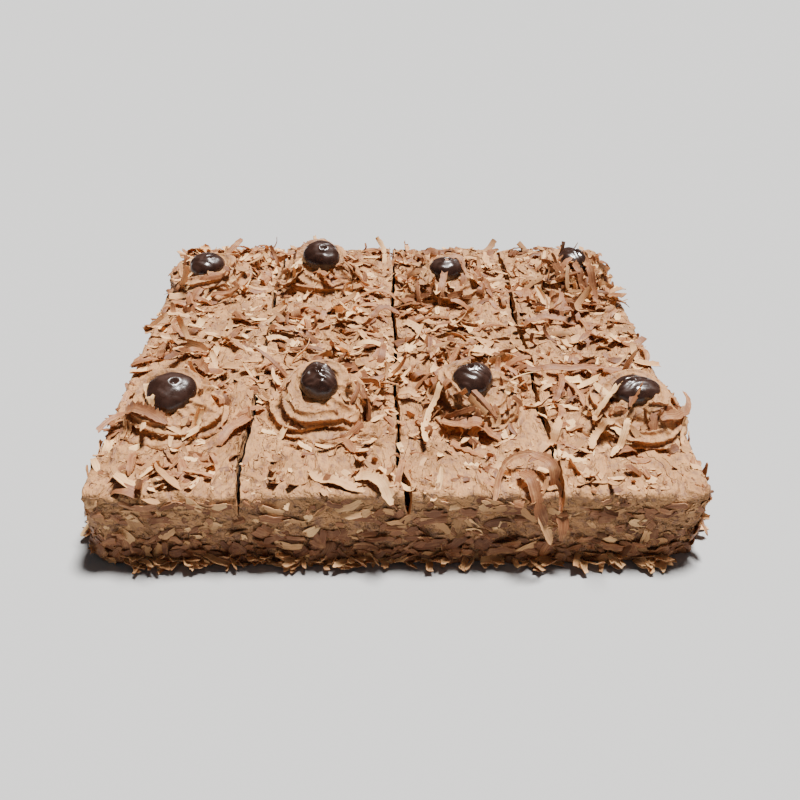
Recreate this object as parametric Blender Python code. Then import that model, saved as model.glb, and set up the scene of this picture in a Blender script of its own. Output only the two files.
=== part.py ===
"""An opera cake: a square chocolate slab, cut into eight portions that still stand together.

Each portion is a dark sponge block under a coat of chocolate cream. On the coat sit a piped
swirl of the same cream and a ganache drop, and chocolate shavings are stuck to all the cream.
Lengths are metres and +Z is up. The front of the slab faces -Y, and the origin is the middle
of its foot.
"""

import math
import random

import bmesh
import bpy
from mathutils import Matrix, Vector, noise
from mathutils.bvhtree import BVHTree

# Driving dimensions of the slab
SLAB_WIDTH = 0.260
SLAB_DEPTH = 0.260
SLAB_HEIGHT = 0.034
TOP_COAT = 0.0050
SIDE_COAT = 0.0045
EDGE_RADIUS = 0.0035
GAP = 0.0003

# The knife cuts: three across the width and one across the depth
COLUMN_CUTS = (-0.0672, 0.0000, 0.0676)
COLUMN_DRIFTS = (0.0015, 0.0045, 0.0)
ROW_CUT = 0.0085
CUT_WIDTH_TOP = 0.0024
CUT_WIDTH_LOW = 0.0008
CUT_LIP = 0.011
CUT_SWAY = 0.0007
CUT_SWAY_LENGTH = 0.085
DRIFT_LENGTH = 0.030

# The coat's unevenness, always pressed in and never raised
COAT_RELIEF = 0.0008
RELIEF_SCALE = 55.0

# Cells of the blocks across a portion, along it and up it
COAT_CELLS = (4, 6, 2)
SPONGE_CELLS = (1, 4, 2)

# Swirls, left to right: each one's centre in plan and its height
SWIRL_RADIUS = 0.0245
SWIRL_STRETCHES = (0.96, 1.05)
SWIRL_SIDES = 24
SWIRL_ZONE = 0.0288
FRONT_SWIRLS = (
    (-0.1022, -0.0700, 0.0170),
    (-0.0358, -0.0650, 0.0195),
    (0.0352, -0.0642, 0.0195),
    (0.1070, -0.0737, 0.0190),
)
BACK_SWIRLS = (
    (-0.1062, 0.0765, 0.0145),
    (-0.0405, 0.0785, 0.0195),
    (0.0315, 0.0672, 0.0170),
    (0.1032, 0.0750, 0.0185),
)
SWIRLS = {"front": FRONT_SWIRLS, "back": BACK_SWIRLS}
# Radius and height along a swirl's outline, as shares of its own, from the seat down
SWIRL_OUTLINE = (
    (0.00, 0.80),
    (0.43, 0.80),
    (0.55, 1.00),
    (0.74, 0.80),
    (0.78, 0.50),
    (1.00, 0.33),
    (0.93, 0.00),
    (0.45, 0.00),
    (0.00, 0.00),
)
SEAT_LEVEL = 1
FOOT_LEVEL = 6
PETAL_COUNTS = (5, 6)
PETAL_DEPTH = 0.10
PETAL_LIFT = 0.0011
PETAL_TURN = 0.9
SLOW_LOBE = 0.04

# Drops, left to right: each one's centre in plan, its half width, its half depth and its height
FRONT_DROPS = (
    (-0.1017, -0.0715, 0.0106, 0.0094, 0.0090),
    (-0.0356, -0.0664, 0.0086, 0.0090, 0.0105),
    (0.0349, -0.0648, 0.0088, 0.0086, 0.0095),
    (0.1082, -0.0725, 0.0102, 0.0082, 0.0080),
)
BACK_DROPS = (
    (-0.1076, 0.0752, 0.0102, 0.0096, 0.0090),
    (-0.0418, 0.0783, 0.0105, 0.0096, 0.0105),
    (0.0308, 0.0653, 0.0096, 0.0090, 0.0095),
    (0.1044, 0.0760, 0.0095, 0.0090, 0.0095),
)
DROPS = {"front": FRONT_DROPS, "back": BACK_DROPS}
DROP_BELLY = 0.36
DROP_DIMPLE = 0.10
DROP_DIMPLE_RADIUS = 0.35
DROP_LOBES = (0.05, 0.03)
DROP_SIDES = 12
DROP_LEVELS = 7

# Shavings: the largest ones, as ribbons stuck in the cream by one end, that rise and curl
SHAVING_CELLS = 3
FLAKE_CELLS = 2
SHAVING_THICKNESS = 0.0008
SHAVING_LENGTHS = (0.014, 0.028)
SWIRL_LENGTHS = (0.012, 0.022)
FLAKE_LENGTHS = (0.008, 0.016)
SHAVING_WIDTHS = (0.0036, 0.0058)
SHAVING_ROOT = 0.16
SHAVING_RISES = (0.22, 0.52)
SHAVING_CURLS = (-1.0, 0.8)
SHAVING_SWEEPS = (-0.5, 0.5)
SHAVING_TWISTS = (-0.7, 0.7)
SHAVING_TAPER = 0.70
TOP_SHAVINGS = 9
SIDE_FLAKES = 5
SWIRL_SHAVINGS = 8
SHAVING_TRIES = 80
FLAKE_HEIGHTS = (0.004, 0.027)
SWIRL_BELT = (0.60, 0.93)
DROP_BERTH = 1.15
ROOT_DEPTH = 0.0005
SIDE_REACH = 0.0035
CLEARANCE = 0.0006
SLIVER = 0.00001
TOUCH = 0.0001
PROBE = 0.01
HIGHEST_SHAVING = SLAB_HEIGHT + 0.030

# The one long curl: an arch that lies near the front edge of the third portion
CURL_PORTION = "front_3"
CURL_MIDDLE = Vector((0.0520, -0.1265, SLAB_HEIGHT))
CURL_HALF_WIDTH = 0.0105
CURL_REACH = 0.021
CURL_LIFT = 0.0050
CURL_RIBBON = 0.0048
CURL_ENDS = 0.45
CURL_LEAN = 0.6
CURL_CELLS = 7

COLUMNS = len(COLUMN_CUTS) + 1
HALF_WIDTH = SLAB_WIDTH / 2
HALF_DEPTH = SLAB_DEPTH / 2


def clear_scene():
    for old in list(bpy.data.objects):
        bpy.data.objects.remove(old, do_unlink=True)


def new_collection(name):
    collection = bpy.data.collections.new(name)
    bpy.context.scene.collection.children.link(collection)
    return collection


def make_material(name, colour, roughness):
    material = bpy.data.materials.new(name)
    material.use_nodes = True
    shader = material.node_tree.nodes["Principled BSDF"]
    shader.inputs["Base Color"].default_value = (*colour, 1.0)
    shader.inputs["Roughness"].default_value = roughness
    shader.inputs["Metallic"].default_value = 0.0
    return material


def add_object(name, mesh_data, collection, material=None):
    """A new object from a bmesh, which is used up."""
    mesh = bpy.data.meshes.new(name)
    mesh_data.to_mesh(mesh)
    mesh_data.free()
    if material:
        mesh.materials.append(material)
    piece = bpy.data.objects.new(name, mesh)
    collection.objects.link(piece)
    return piece


def ease(share):
    """A smooth step from 0 to 1."""
    share = min(max(share, 0.0), 1.0)
    return share * share * (3.0 - 2.0 * share)


def column_cut_x(number, y):
    """Middle of a column cut, which strays a little as the knife is drawn forwards."""
    sway = CUT_SWAY * math.sin(math.tau * y / CUT_SWAY_LENGTH + number)
    to_front = ease((DRIFT_LENGTH - HALF_DEPTH - y) / DRIFT_LENGTH)
    return COLUMN_CUTS[number] + sway + COLUMN_DRIFTS[number] * to_front


def row_cut_y(x):
    """Middle of the cut that parts the front row from the back row."""
    return ROW_CUT + CUT_SWAY * math.sin(math.tau * x / CUT_SWAY_LENGTH)


def half_cut(z):
    """Half the width of a cut: narrow below, open at its lips."""
    opened = ease((z - (SLAB_HEIGHT - CUT_LIP)) / CUT_LIP)
    return (CUT_WIDTH_LOW + (CUT_WIDTH_TOP - CUT_WIDTH_LOW) * opened) / 2


class Portion:
    """One of the eight cut pieces: where its sides run and which of them are outer sides."""

    def __init__(self, row, column):
        self.column = column
        self.name = f"{row}_{column + 1}"
        self.outer_left = column == 0
        self.outer_right = column == COLUMNS - 1
        self.outer_front = row == "front"
        x, y, self.swirl_height = SWIRLS[row][column]
        self.centre = Vector((x, y, 0.0))
        self.drop = DROPS[row][column]
        self.seed = 10 * column + (100 if self.outer_front else 200)

    def left(self, y, z, inset):
        if self.outer_left:
            return -HALF_WIDTH + inset
        return column_cut_x(self.column - 1, y) + half_cut(z)

    def right(self, y, z, inset):
        if self.outer_right:
            return HALF_WIDTH - inset
        return column_cut_x(self.column, y) - half_cut(z)

    def front(self, x, z, inset):
        if self.outer_front:
            return -HALF_DEPTH + inset
        return row_cut_y(x) + half_cut(z)

    def back(self, x, z, inset):
        if self.outer_front:
            return row_cut_y(x) - half_cut(z)
        return HALF_DEPTH - inset

    def place(self, share, inset, top):
        """The point at a share of the way across, along and up the portion."""
        z = share.z * top
        middle_x = (self.left(0.0, z, inset) + self.right(0.0, z, inset)) / 2
        near = self.front(middle_x, z, inset)
        far = self.back(middle_x, z, inset)
        y = near + (far - near) * share.y
        left = self.left(y, z, inset)
        x = left + (self.right(y, z, inset) - left) * share.x
        near = self.front(x, z, inset)
        far = self.back(x, z, inset)
        return Vector((x, near + (far - near) * share.y, z))

    def outer_sides(self):
        """Each outer side as its outward direction."""
        sides = [Vector((0, -1, 0)) if self.outer_front else Vector((0, 1, 0))]
        if self.outer_left:
            sides.append(Vector((-1, 0, 0)))
        if self.outer_right:
            sides.append(Vector((1, 0, 0)))
        return sides

    def holds(self, point, margin):
        """Whether a point stays clear of the neighbours, and within reach of the outer sides."""
        reach = -SIDE_REACH
        left = self.left(point.y, SLAB_HEIGHT, reach) + (0 if self.outer_left else margin)
        right = self.right(point.y, SLAB_HEIGHT, reach) - (0 if self.outer_right else margin)
        near = self.front(point.x, SLAB_HEIGHT, reach) + (0 if self.outer_front else margin)
        far = self.back(point.x, SLAB_HEIGHT, reach) - (margin if self.outer_front else 0)
        return left < point.x < right and near < point.y < far and point.z > GAP

    def in_sponge(self, point):
        """Whether a point comes too near the sponge under the coat."""
        depth = SIDE_COAT - CLEARANCE
        inside_x = abs(point.x) < HALF_WIDTH - depth
        inside_y = abs(point.y) < HALF_DEPTH - depth
        return inside_x and inside_y and point.z < SLAB_HEIGHT - TOP_COAT + CLEARANCE


def gridded_block(cells):
    """A unit block whose faces are split into cells across, along and up."""
    block = bmesh.new()
    bmesh.ops.create_cube(block, size=1.0, matrix=Matrix.Translation((0.5, 0.5, 0.5)))
    for axis, count in enumerate(cells):
        long_edges = [
            edge for edge in block.edges if abs(edge.verts[0].co[axis] - edge.verts[1].co[axis]) > 0.5
        ]
        bmesh.ops.subdivide_edges(block, edges=long_edges, cuts=count - 1, use_grid_fill=True)
    return block


def outer_edges(block, portion):
    """The block's edges that the cream rounds: along the outer top and down the outer corner."""
    def outer_faces_at(vert):
        x, y, z = vert.co
        faces = {"side": (portion.outer_left and x < 0.001) or (portion.outer_right and x > 0.999)}
        faces["end"] = y < 0.001 if portion.outer_front else y > 0.999
        faces["top"] = z > 0.999
        return {name for name, touched in faces.items() if touched}

    def is_rounded(edge):
        shared = outer_faces_at(edge.verts[0]) & outer_faces_at(edge.verts[1])
        return len(shared) > 1

    return [edge for edge in block.edges if is_rounded(edge)]


def make_sponge(portion, collection, material):
    """The portion's dark sponge, which shows in the cuts below the cream."""
    block = gridded_block(SPONGE_CELLS)
    for vert in block.verts:
        vert.co = portion.place(vert.co.copy(), SIDE_COAT, SLAB_HEIGHT - TOP_COAT)
    return add_object(f"{portion.name}_sponge", block, collection, material)


def coat_cutter(portion, collection):
    """The room that the coat leaves for its sponge, run out through the cut sides and the foot."""
    past = SIDE_COAT
    low = Vector((portion.left(0, 0, 0) - past, portion.front(0, 0, 0) - past, -past))
    high = Vector((portion.right(0, 0, 0) + past, portion.back(0, 0, 0) + past, 0))
    high.z = SLAB_HEIGHT - TOP_COAT + GAP
    room = SIDE_COAT - GAP
    if portion.outer_left:
        low.x = -HALF_WIDTH + room
    if portion.outer_right:
        high.x = HALF_WIDTH - room
    if portion.outer_front:
        low.y = -HALF_DEPTH + room
    else:
        high.y = HALF_DEPTH - room
    size = high - low
    block = bmesh.new()
    bmesh.ops.create_cube(block, size=1.0)
    bmesh.ops.transform(
        block,
        matrix=Matrix.Translation((low + high) / 2) @ Matrix.Diagonal((*size, 1.0)),
        verts=block.verts,
    )
    cutter = add_object(f"{portion.name}_room", block, collection)
    cutter.hide_render = True
    cutter.display_type = "WIRE"
    return cutter


def apply_boolean(piece, operation, **operand):
    """Apply one Boolean to a piece, and keep the result as its mesh."""
    modifier = piece.modifiers.new("join", "BOOLEAN")
    modifier.operation = operation
    for name, value in operand.items():
        setattr(modifier, name, value)
    depsgraph = bpy.context.evaluated_depsgraph_get()
    result = bpy.data.meshes.new_from_object(piece.evaluated_get(depsgraph))
    piece.modifiers.clear()
    piece.data = result


def on_cut_wall(vert, portion):
    """Whether a vertex of the coat's block lies on a wall that the knife made."""
    x, y, z = vert.co
    walls = [y - (portion.back(x, z, 0) if portion.outer_front else portion.front(x, z, 0))]
    if not portion.outer_left:
        walls.append(x - portion.left(y, z, 0))
    if not portion.outer_right:
        walls.append(x - portion.right(y, z, 0))
    return min(abs(distance) for distance in walls) < TOUCH


def make_coat(portion, collection, cutters, material):
    """The cream over the top and the outer sides, pressed in here and there by the knife."""
    block = gridded_block(COAT_CELLS)
    rounded = outer_edges(block, portion)
    for vert in block.verts:
        vert.co = portion.place(vert.co.copy(), 0.0, SLAB_HEIGHT)
    bmesh.ops.bevel(block, geom=rounded, offset=EDGE_RADIUS, segments=2, profile=0.5, affect="EDGES")
    block.normal_update()
    for vert in block.verts:
        if vert.co.z > TOUCH and not on_cut_wall(vert, portion):
            dent = 0.5 + 0.5 * noise.noise(vert.co * RELIEF_SCALE)
            vert.co -= vert.normal * COAT_RELIEF * dent
    coat = add_object(f"{portion.name}_cream", block, collection, material)
    apply_boolean(coat, "DIFFERENCE", object=coat_cutter(portion, cutters))
    return coat


def make_swirl(portion, collection, material):
    """A piped swirl: two coils with petal folds that turn as they rise, and a seat on top."""
    rng = random.Random(portion.seed)
    petals = rng.choice(PETAL_COUNTS)
    turn = rng.uniform(0.0, math.tau)
    stretch = rng.uniform(*SWIRL_STRETCHES)
    swirl = bmesh.new()
    levels = len(SWIRL_OUTLINE) - 1
    bmesh.ops.create_uvsphere(swirl, u_segments=SWIRL_SIDES, v_segments=levels, radius=1.0)
    for vert in swirl.verts:
        level = round(math.acos(max(-1.0, min(1.0, vert.co.z))) / math.pi * levels)
        angle = math.atan2(vert.co.y, vert.co.x)
        radius, height = SWIRL_OUTLINE[level]
        ridge = math.cos(petals * angle + PETAL_TURN * level + turn)
        lift = 0.0
        if level > SEAT_LEVEL:
            radius *= 1.0 + PETAL_DEPTH * ridge + SLOW_LOBE * math.cos(2 * angle + turn)
        if SEAT_LEVEL < level < FOOT_LEVEL:
            lift = PETAL_LIFT * (ridge + math.sin(angle + turn + level))
        vert.co = Vector(
            (
                SWIRL_RADIUS * radius * stretch * math.cos(angle),
                SWIRL_RADIUS * radius / stretch * math.sin(angle),
                portion.swirl_height * height + lift,
            )
        )
    base = portion.centre + Vector((0, 0, SLAB_HEIGHT + GAP))
    bmesh.ops.translate(swirl, verts=swirl.verts, vec=base)
    return add_object(f"{portion.name}_swirl", swirl, collection, material)


def make_drop(portion, collection, material):
    """A ganache drop: a thick blob, flat below, with an uneven edge and a dimple on top."""
    rng = random.Random(portion.seed + 1)
    turn = rng.uniform(0.0, math.tau)
    broad, narrow = DROP_LOBES
    centre_x, centre_y, half_width, half_depth, tall = portion.drop
    seat = SLAB_HEIGHT + 2 * GAP + portion.swirl_height * SWIRL_OUTLINE[0][1]
    drop = bmesh.new()
    bmesh.ops.create_uvsphere(drop, u_segments=DROP_SIDES, v_segments=DROP_LEVELS, radius=1.0)
    for vert in drop.verts:
        x, y, z = vert.co
        angle = math.atan2(y, x)
        lobes = 1.0 + broad * math.sin(2 * angle + turn) + narrow * math.sin(3 * angle - turn)
        height = DROP_BELLY * (1.0 + z)
        if z > 0:
            dimple = DROP_DIMPLE * math.exp(-(x * x + y * y) / DROP_DIMPLE_RADIUS**2)
            height = DROP_BELLY + (1.0 - DROP_BELLY) * z - dimple
        vert.co = Vector((half_width * x * lobes, half_depth * y * lobes, tall * height))
    bmesh.ops.translate(drop, verts=drop.verts, vec=Vector((centre_x, centre_y, seat)))
    return add_object(f"{portion.name}_ganache", drop, collection, material)


def make_ribbon(name, collection, cells, shape):
    """A strip of chocolate; shape gives the place of a point by its shares along and across."""
    ribbon = bmesh.new()
    bmesh.ops.create_grid(ribbon, x_segments=cells, y_segments=1, size=0.5)
    for vert in ribbon.verts:
        vert.co = shape(vert.co.x + 0.5, vert.co.y)
    bmesh.ops.recalc_face_normals(ribbon, faces=ribbon.faces)
    bmesh.ops.solidify(ribbon, geom=ribbon.faces[:], thickness=SHAVING_THICKNESS)
    bmesh.ops.recalc_face_normals(ribbon, faces=ribbon.faces)
    return add_object(name, ribbon, collection)


def make_shaving(name, collection, frame, rng, cells, lengths):
    """One shaving: a ribbon, narrow at its ends, that rises along an arc and sweeps sideways."""
    length = rng.uniform(*lengths)
    width = rng.uniform(*SHAVING_WIDTHS)
    rise = rng.uniform(*SHAVING_RISES)
    curl = rng.uniform(*SHAVING_CURLS)
    sweep = rng.uniform(*SHAVING_SWEEPS)
    twist = rng.uniform(*SHAVING_TWISTS)
    bend = length / curl
    root = length * SHAVING_ROOT

    def shape(along, across):
        half = across * width * (1.0 - SHAVING_TAPER * (2.0 * along - 1.0) ** 2)
        slope = rise + curl * along
        forward = bend * (math.sin(slope) - math.sin(rise)) - root * math.cos(rise)
        sideways = half * math.cos(twist * along) + sweep * length * along * along
        upward = bend * (math.cos(rise) - math.cos(slope)) - root * math.sin(rise)
        return frame @ Vector((forward, sideways, upward + half * math.sin(twist * along)))

    return make_ribbon(name, collection, cells, shape)


def make_long_curl(name, collection):
    """The long curl: a half turn of ribbon, leaning outwards, with both feet in the cream."""
    def shape(along, across):
        turn = math.pi * (1.0 - along)
        arch = math.sin(turn)
        half = across * CURL_RIBBON * (CURL_ENDS + (1.0 - CURL_ENDS) * arch)
        lift = (CURL_LIFT + 2 * ROOT_DEPTH) * arch - 2 * ROOT_DEPTH + half * CURL_LEAN
        sideways = (CURL_HALF_WIDTH + half) * math.cos(turn)
        return CURL_MIDDLE + Vector((sideways, (CURL_REACH + half) * arch, lift))

    return make_ribbon(name, collection, CURL_CELLS, shape)


def keep_main_body(piece):
    """Weld slivers, and drop the loose scraps and shells of sealed hollows that joining left."""
    body = bmesh.new()
    body.from_mesh(piece.data)
    bmesh.ops.remove_doubles(body, verts=body.verts, dist=SLIVER)
    bmesh.ops.dissolve_degenerate(body, edges=body.edges, dist=SLIVER)
    unseen = set(body.faces)
    largest = set()
    while unseen:
        edge_of_island = [unseen.pop()]
        island = set(edge_of_island)
        while edge_of_island:
            face = edge_of_island.pop()
            beside = {other for edge in face.edges for other in edge.link_faces} & unseen
            unseen -= beside
            island |= beside
            edge_of_island.extend(beside)
        if len(island) > len(largest):
            largest = island
    scraps = [face for face in body.faces if face not in largest]
    bmesh.ops.delete(body, geom=scraps, context="FACES")
    body.to_mesh(piece.data)
    body.free()


def frame_on(point, normal, heading):
    """A frame on a surface, its Z along the normal and its X turned by a heading."""
    turned = normal.to_track_quat("Z", "Y").to_matrix().to_4x4()
    return Matrix.Translation(point) @ turned @ Matrix.Rotation(heading, 4, "Z")


def tree_of(piece):
    """A search tree of a piece's faces, for an object that stands unmoved."""
    mesh = piece.data
    corners = [vert.co for vert in mesh.vertices]
    return BVHTree.FromPolygons(corners, [tuple(face.vertices) for face in mesh.polygons])


def is_rooted(shaving, surface):
    """Whether the cream holds a shaving's root: an edge's worth of corners deep inside it."""
    held = 0
    for vert in shaving.data.vertices:
        point, normal, _, _ = surface.find_nearest(vert.co)
        held += (vert.co - point).dot(normal) < -ROOT_DEPTH
    return held > 3


def fuse_shavings(piece, spots, allowed):
    """Drop a shaving on each spot where it stays clear of the other pieces, and join them all."""
    rng = random.Random(f"{piece.name} shavings")
    heap = new_collection(f"{piece.name}_shavings")
    surface = tree_of(piece)
    placed = []
    if piece.name == f"{CURL_PORTION}_cream":
        placed.append(tree_of(make_long_curl(f"{piece.name}_curl", heap)))
    for number, (choose_spot, cells, lengths) in enumerate(spots):
        for _ in range(SHAVING_TRIES):
            start, direction = choose_spot(rng)
            point, normal, _, _ = surface.ray_cast(start, direction)
            if point is None:
                continue
            frame = frame_on(point, normal, rng.uniform(0.0, math.tau))
            name = f"{piece.name}_shaving_{number}"
            shaving = make_shaving(name, heap, frame, rng, cells, lengths)
            clear = all(allowed(vert.co) for vert in shaving.data.vertices)
            ribbon = tree_of(shaving)
            crossing = any(ribbon.overlap(other) for other in placed)
            if clear and not crossing and is_rooted(shaving, surface):
                placed.append(ribbon)
                break
            bpy.data.objects.remove(shaving, do_unlink=True)
    apply_boolean(piece, "UNION", operand_type="COLLECTION", collection=heap)
    keep_main_body(piece)
    for shaving in list(heap.objects):
        bpy.data.objects.remove(shaving, do_unlink=True)
    bpy.data.collections.remove(heap)


def cover_coat(coat, portion):
    """Shavings on the coat's top, round its swirl, and on its outer sides."""
    top_low = Vector((portion.left(0, 0, 0), portion.front(0, 0, 0), SLAB_HEIGHT))
    top_high = Vector((portion.right(0, 0, 0), portion.back(0, 0, 0), SLAB_HEIGHT))

    def on_top(rng):
        x = rng.uniform(top_low.x, top_high.x)
        y = rng.uniform(top_low.y, top_high.y)
        return Vector((x, y, SLAB_HEIGHT + PROBE)), Vector((0, 0, -1))

    def on_side(side):
        def choose(rng):
            x = rng.uniform(top_low.x, top_high.x) if side.x == 0 else side.x * HALF_WIDTH
            y = rng.uniform(top_low.y, top_high.y) if side.y == 0 else side.y * HALF_DEPTH
            z = rng.uniform(*FLAKE_HEIGHTS)
            return Vector((x, y, z)) + side * PROBE, -side

        return choose

    def allowed(point):
        from_swirl = math.hypot(point.x - portion.centre.x, point.y - portion.centre.y)
        beside_swirl = from_swirl > SWIRL_ZONE + CLEARANCE
        return beside_swirl and portion.holds(point, CLEARANCE) and not portion.in_sponge(point)

    spots = [(on_top, SHAVING_CELLS, SHAVING_LENGTHS)] * TOP_SHAVINGS
    for side in portion.outer_sides():
        spots += [(on_side(side), FLAKE_CELLS, FLAKE_LENGTHS)] * SIDE_FLAKES
    fuse_shavings(coat, spots, allowed)


def cover_swirl(swirl, portion):
    """Shavings on the swirl, outside its drop and above the coat."""
    drop_x, drop_y, half_width, half_depth, _ = portion.drop
    keep_off = max(half_width, half_depth) * DROP_BERTH + CLEARANCE
    high = Vector((0, 0, HIGHEST_SHAVING))

    def on_swirl(rng):
        angle = rng.uniform(0.0, math.tau)
        radius = SWIRL_RADIUS * rng.uniform(*SWIRL_BELT)
        return portion.centre + high + Vector((math.cos(angle), math.sin(angle), 0)) * radius, -high

    def allowed(point):
        from_middle = math.hypot(point.x - portion.centre.x, point.y - portion.centre.y)
        off_drop = math.hypot(point.x - drop_x, point.y - drop_y) > keep_off
        at_height = SLAB_HEIGHT + 2 * GAP < point.z < HIGHEST_SHAVING
        in_zone = off_drop and from_middle < SWIRL_ZONE
        return at_height and in_zone and portion.holds(point, CLEARANCE)

    spots = [(on_swirl, SHAVING_CELLS, SWIRL_LENGTHS)] * SWIRL_SHAVINGS
    fuse_shavings(swirl, spots, allowed)


def build_cake():
    clear_scene()
    cake = new_collection("opera_cake")
    cutters = new_collection("cutters")
    cream = make_material("chocolate_cream", (0.55, 0.42, 0.31), 0.75)
    sponge = make_material("dark_sponge", (0.055, 0.028, 0.018), 0.95)
    ganache = make_material("ganache", (0.022, 0.010, 0.008), 0.18)
    for row in ("front", "back"):
        for column in range(COLUMNS):
            portion = Portion(row, column)
            make_sponge(portion, cake, sponge)
            coat = make_coat(portion, cake, cutters, cream)
            cover_coat(coat, portion)
            swirl = make_swirl(portion, cake, cream)
            cover_swirl(swirl, portion)
            make_drop(portion, cake, ganache)


build_cake()
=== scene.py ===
"""The looks of the opera cake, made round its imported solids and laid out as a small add-on.

Every piece stands where its solid stands. The coats, swirls, drops and sponges replace the
plain solids, and the shavings are laid on them one by one until each rests on what is below.
"""

import math
import random

import bmesh
import bpy
import numpy as np
from mathutils import Matrix, Vector, noise
from mathutils.bvhtree import BVHTree


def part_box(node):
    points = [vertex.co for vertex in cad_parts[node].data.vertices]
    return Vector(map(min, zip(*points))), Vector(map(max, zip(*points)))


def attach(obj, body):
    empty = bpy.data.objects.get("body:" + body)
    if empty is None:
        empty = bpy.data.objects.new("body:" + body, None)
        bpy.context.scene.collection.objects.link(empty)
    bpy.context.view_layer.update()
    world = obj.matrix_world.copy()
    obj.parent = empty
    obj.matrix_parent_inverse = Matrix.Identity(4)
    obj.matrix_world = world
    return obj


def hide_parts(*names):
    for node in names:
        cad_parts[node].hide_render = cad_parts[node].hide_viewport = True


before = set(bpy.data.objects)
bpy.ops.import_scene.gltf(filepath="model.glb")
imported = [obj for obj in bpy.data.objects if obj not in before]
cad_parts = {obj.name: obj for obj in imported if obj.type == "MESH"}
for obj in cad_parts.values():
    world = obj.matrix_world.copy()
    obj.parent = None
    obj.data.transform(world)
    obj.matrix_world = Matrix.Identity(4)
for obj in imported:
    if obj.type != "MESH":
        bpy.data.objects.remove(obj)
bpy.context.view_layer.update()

bl_info = {
    "name": "Opera cake",
    "version": (1, 0, 0),
    "blender": (4, 5, 0),
    "location": "3D View > Sidebar > Cake",
    "description": "Builds the coats, swirls, drops, sponge and shavings of an opera cake",
    "category": "Add Mesh",
}

# How light soaks into cream and shavings: its weight, and its spread in red, green and blue
SOAK_WEIGHT = 0.10
SOAK_SPREAD = (0.9, 0.5, 0.3)

# The slab, as its solids are cut
SLAB_WIDTH = 0.260
SLAB_DEPTH = 0.260
SLAB_HEIGHT = 0.034
TOP_COAT = 0.0050
SIDE_COAT = 0.0045
GAP = 0.0003
COLUMN_CUTS = (-0.0672, 0.0000, 0.0676)
COLUMN_DRIFTS = (0.0015, 0.0045, 0.0)
ROW_CUT = 0.0085
CUT_WIDTH_TOP = 0.0024
CUT_WIDTH_LOW = 0.0008
CUT_LIP = 0.011
CUT_SWAY = 0.0007
CUT_SWAY_LENGTH = 0.085
DRIFT_LENGTH = 0.030
HALF_WIDTH = SLAB_WIDTH / 2
HALF_DEPTH = SLAB_DEPTH / 2
COLUMNS = len(COLUMN_CUTS) + 1
ROWS = ("front", "back")

# Knife cuts gape here: place in plan, radius and extra width
CUT_GAPES = (
    (0.0043, -0.1240, 0.009, 0.0012),
    (0.0676, -0.1120, 0.018, 0.0018),
    (0.0680, -0.0640, 0.009, 0.0018),
    (0.0676, -0.0140, 0.012, 0.0020),
    (0.0655, 0.0450, 0.010, 0.0012),
    (0.0655, 0.1000, 0.012, 0.0010),
    (-0.1087, 0.0085, 0.004, 0.0022),
    (-0.0917, 0.0085, 0.008, 0.0018),
    (-0.0573, 0.0085, 0.005, 0.0026),
    (0.0220, 0.0085, 0.008, 0.0028),
    (0.0770, 0.0085, 0.004, 0.0022),
    (0.1022, 0.0085, 0.004, 0.0032),
    (-0.0675, -0.0950, 0.022, 0.0007),
    (-0.0680, 0.0650, 0.014, 0.0010),
)

# The coat's ridge along the first cut: middle, half width, ends and height
RIDGE_X = -0.0745
RIDGE_HALF = 0.0042
RIDGE_ENDS = (-0.128, -0.018)
RIDGE_RISE = 0.0013


def ease(share):
    """A smooth step from 0 to 1."""
    share = min(max(share, 0.0), 1.0)
    return share * share * (3.0 - 2.0 * share)


def column_cut_x(number, y):
    """Middle of a column cut at a depth."""
    sway = CUT_SWAY * math.sin(math.tau * y / CUT_SWAY_LENGTH + number)
    to_front = ease((DRIFT_LENGTH - HALF_DEPTH - y) / DRIFT_LENGTH)
    return COLUMN_CUTS[number] + sway + COLUMN_DRIFTS[number] * to_front


def row_cut_y(x):
    """Middle of the cut between the two rows."""
    return ROW_CUT + CUT_SWAY * math.sin(math.tau * x / CUT_SWAY_LENGTH)


def half_cut(z):
    """Half the width of a cut: narrow below, open at its lips."""
    opened = ease((z - (SLAB_HEIGHT - CUT_LIP)) / CUT_LIP)
    return (CUT_WIDTH_LOW + (CUT_WIDTH_TOP - CUT_WIDTH_LOW) * opened) / 2


def terraced(value, steep):
    """How far a value moves when its slopes are gathered into steps with steep fronts."""
    level = math.floor(value)
    return level + ease((value - level) * steep) - value


def onto_arc(share):
    """A place in a square corner, drawn in so that the corner turns into an arc."""
    return share * (max(share.x, share.y) / share.length)


def grain(x, y, z=0.0):
    """Perlin noise at a place given in units of the noise."""
    return noise.noise(Vector((x, y, z)))


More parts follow.
